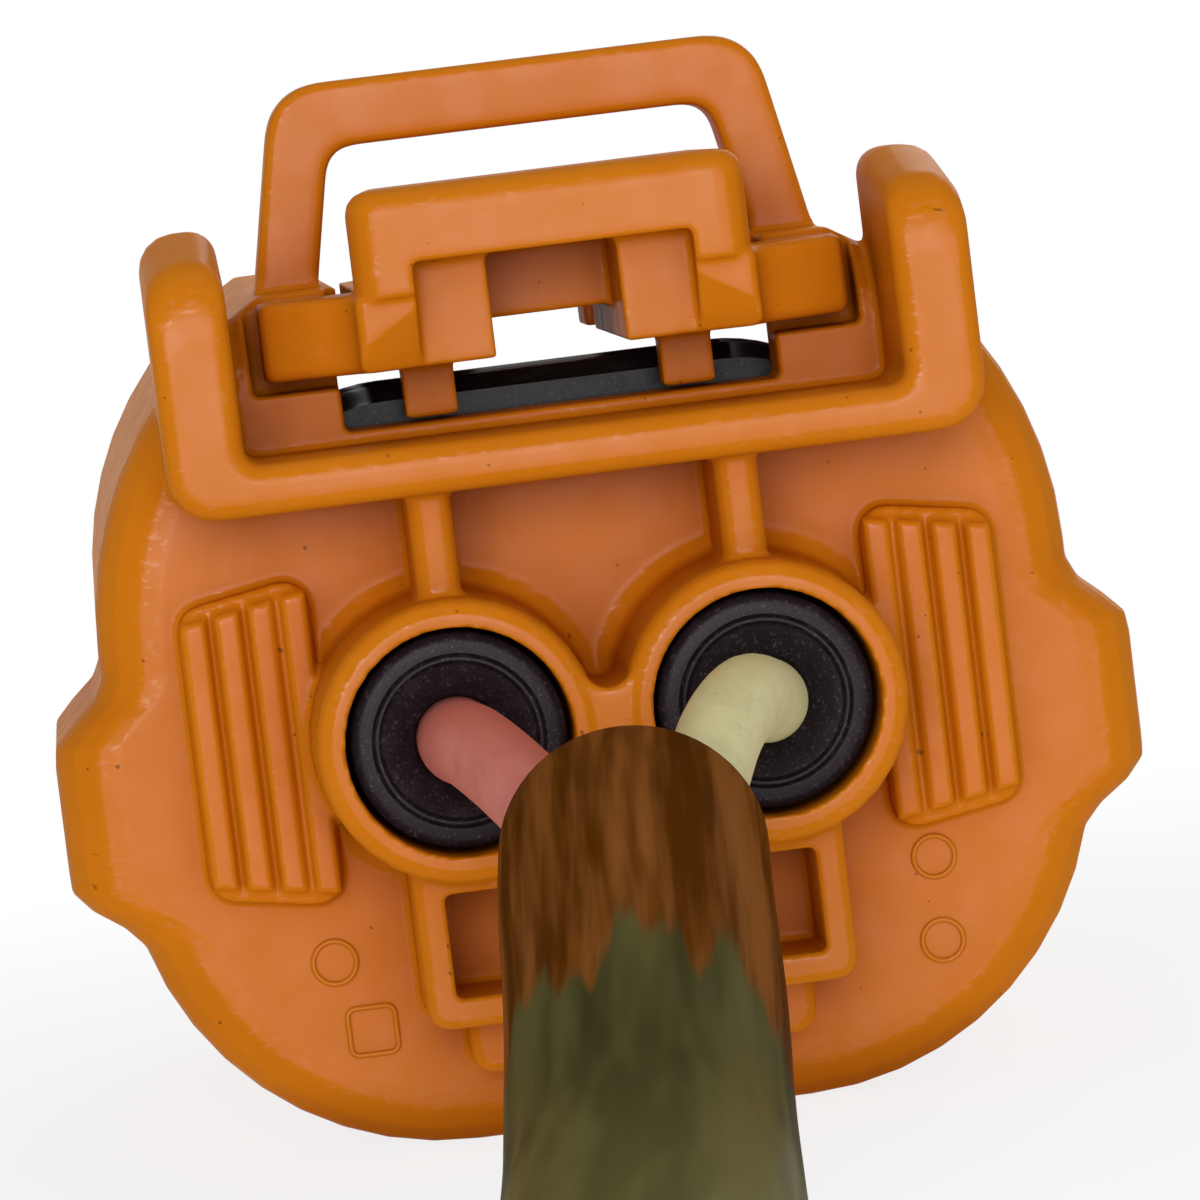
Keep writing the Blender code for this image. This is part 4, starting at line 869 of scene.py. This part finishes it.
class PLUG_OT_wire_seals(bpy.types.Operator):
    """Makes the two turned wire seals, each with a fine ring in its face and a funnel round the wire"""
    bl_idname = "plug.wire_seals"
    bl_label = "Wire seals"
    lips = 3
    lip_steps = 48

    def execute(self, context):
        made = context.scene.plug_seals
        rubber = seal_rubber("seal_rubber", made.rubber, 0.42)
        hole = context.scene.plug_cords.wire_radius + made.wire_gap
        outer = (SEAL_HIGH.x - SEAL_LOW.x) / 2
        profile = self.face(made, hole, outer) + self.barrel(made, hole, outer)
        for name, sign in SIDES:
            centre = Vector((sign * WIRE_X, 0, AXIS_Z))
            seal = new_object("rubber_seal_" + name, turned("rubber_seal_" + name, profile, centre), "plug")
            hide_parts("wire_seal_" + name)
            paint(seal, rubber)
        return {"FINISHED"}

    def face(self, made, hole, outer):
        """The half outline of the face: the funnel, the ring between its grooves and the rounded edge."""
        face = SEAL_LOW.y
        inner, outside = made.ring_radius - made.ring_width / 2, made.ring_radius + made.ring_width / 2
        groove, deep, low = made.groove_width, face + made.groove_depth, face + made.edge_drop
        return [
            (hole, face + made.mouth_depth), (hole + made.mouth_step, face + made.mouth_knee),
            (inner - made.mouth_step, low),
            (inner, face), (inner + groove / 2, deep), (inner + groove, face),
            (outside - groove, face), (outside - groove / 2, deep), (outside, face),
            (outer - made.edge_round, face), (outer - made.edge_side, low), (outer, face + made.edge_round)]

    def barrel(self, made, hole, outer):
        """The half outline of the lips, the neck and the front end."""
        start, end = SEAL_LOW.y + made.shoulder, SEAL_HIGH.y - made.neck
        outline = []
        for k in range(self.lip_steps + 1):
            valley = 0.5 - 0.5 * cos(2 * pi * self.lips * k / self.lip_steps)
            outline.append((outer - made.lip_depth * valley, start + (end - start) * k / self.lip_steps))
        neck = outer * made.neck_share
        return outline + [(neck, end), (neck, SEAL_HIGH.y), (hole, SEAL_HIGH.y)]


class PLUG_OT_interface_seal(bpy.types.Operator):
    """Makes the lipped ring on the terminal tower"""
    bl_idname = "plug.interface_seal"
    bl_label = "Interface seal"
    lips = 2
    lip_steps = 40

    def execute(self, context):
        made = context.scene.plug_seals
        low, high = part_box("interface_seal")
        stations = []
        for k in range(self.lip_steps + 1):
            swell = 0.5 - 0.5 * cos(2 * pi * self.lips * k / self.lip_steps)
            stations.append((made.tower_lip * (swell - 1), low.y + (high.y - low.y) * k / self.lip_steps))
        stations += [(-made.tower_wall, high.y), (-made.tower_wall, low.y)]
        bm = bmesh.new()
        loops = [tower_loop(bm, low, high, made.tower_corner, offset, y) for offset, y in stations]
        join_loops(bm, loops, closed=True)
        ring = new_object("rubber_ring", mesh_of("rubber_ring", bm), "plug")
        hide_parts("interface_seal")
        paint(ring, seal_rubber("ring_rubber", made.ring_rubber, 0.3))
        return {"FINISHED"}


class PLUG_OT_front_cover(bpy.types.Operator):
    """Makes the cover on the tower's nose, with rounded edges and a funnel at each blade slot"""
    bl_idname = "plug.front_cover"
    bl_label = "Front cover"
    edge_steps = 8

    def execute(self, context):
        made = context.scene.plug_moulding
        low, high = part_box("front_retainer")
        bm = bmesh.new()
        loops = [
            tower_loop(bm, low, high, made.tower_corner, offset, y)
            for offset, y in self.stations(low.y, high.y, made)]
        join_loops(bm, loops)
        body = scratch_object("front_cover", mesh_of("front_cover", bm))
        for _, sign in SIDES:
            cut = body.modifiers.new("Slot", "BOOLEAN")
            cut.object = scratch_object("funnel", self.funnel(sign * WIRE_X, high.y, made))
            cut.solver = "EXACT"
        mesh = evaluated_mesh(body)
        for cut in body.modifiers:
            bpy.data.objects.remove(cut.object)
        bpy.data.objects.remove(body)
        cover = new_object("front_cover", mesh, "retainer")
        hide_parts("front_retainer")
        paint(cover, natural_nylon(made))
        return {"FINISHED"}

    def stations(self, rear, front, made):
        """The cover's outline from the inside of its face, round the open end, to its rounded front edge."""
        wall, rim, edge = made.cover_wall, made.cover_rim, made.cover_round
        outline = [
            (-wall, front - made.cover_face), (-wall, rear + rim), (rim - wall, rear), (-rim, rear),
            (0, rear + rim)]
        for k in range(self.edge_steps + 1):
            turn = pi / 2 * k / self.edge_steps
            outline.append((edge * (cos(turn) - 1), front + edge * (sin(turn) - 1)))
        return outline

    def funnel(self, x, front, made):
        """The shape of one blade slot: wide at the face, then straight."""
        flare = made.slot_flare
        bm = bmesh.new()
        loops = []
        for grown, y in (
                (flare * 1.5, front + flare / 2), (0, front - flare), (0, front - 2 * made.cover_face)):
            half_width, half_height = made.slot_half_width + grown, made.slot_half_height + grown
            loops.append([
                bm.verts.new((x + a * half_width, y, AXIS_Z + b * half_height))
                for a, b in ((1, 1), (-1, 1), (-1, -1), (1, -1))])
        join_loops(bm, loops)
        return mesh_of("funnel", bm)


class PLUG_OT_inner_pieces(bpy.types.Operator):
    """Finishes the terminals, their springs and the stripped cores"""
    bl_idname = "plug.inner_pieces"
    bl_label = "Terminals"

    def execute(self, context):
        metals = context.scene.plug_metals
        tin = rolled_metal("tinned_sheet", metals.tin, metals.tin_dull, 0.26)
        steel = rolled_metal("spring_strip", metals.steel, metals.steel_dull, 0.24)
        copper = bpy.data.materials["copper_strands"]
        finishes = {
            "terminal": (tin, "tinned_brass"), "contact_spring": (steel, "spring_steel"),
            "conductor": (copper, "bare_copper")}
        for node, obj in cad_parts.items():
            for start, (material, slot) in finishes.items():
                if node.startswith(start):
                    paint(obj, material)
        return {"FINISHED"}


class PLUG_PT_panel(bpy.types.Panel):
    """Lists the pieces of the plug"""
    bl_label = "Sealed plug"
    bl_idname = "PLUG_PT_panel"
    bl_space_type = "VIEW_3D"
    bl_region_type = "UI"
    bl_category = "Plug"

    def draw(self, context):
        for operator in OPERATORS:
            self.layout.operator(operator.bl_idname)


SETTINGS = {
    "plug_moulding": MouldingSettings, "plug_seals": SealSettings, "plug_cords": CordSettings,
    "plug_metals": MetalSettings, "plug_stage": StageSettings,
}
OPERATORS = (
    PLUG_OT_stage, PLUG_OT_wires, PLUG_OT_sleeve, PLUG_OT_housing, PLUG_OT_latch, PLUG_OT_wire_seals,
    PLUG_OT_interface_seal, PLUG_OT_front_cover, PLUG_OT_inner_pieces,
)


def register():
    for group in (*SETTINGS.values(), *OPERATORS, PLUG_PT_panel):
        bpy.utils.register_class(group)
    for name, group in SETTINGS.items():
        setattr(bpy.types.Scene, name, PointerProperty(type=group))


def unregister():
    for name in SETTINGS:
        delattr(bpy.types.Scene, name)
    for group in reversed((*SETTINGS.values(), *OPERATORS, PLUG_PT_panel)):
        bpy.utils.unregister_class(group)


def main():
    register()
    for operator in OPERATORS:
        getattr(bpy.ops.plug, operator.bl_idname.split(".")[1])()
    bpy.context.view_layer.update()


if __name__ == "__main__":
    main()
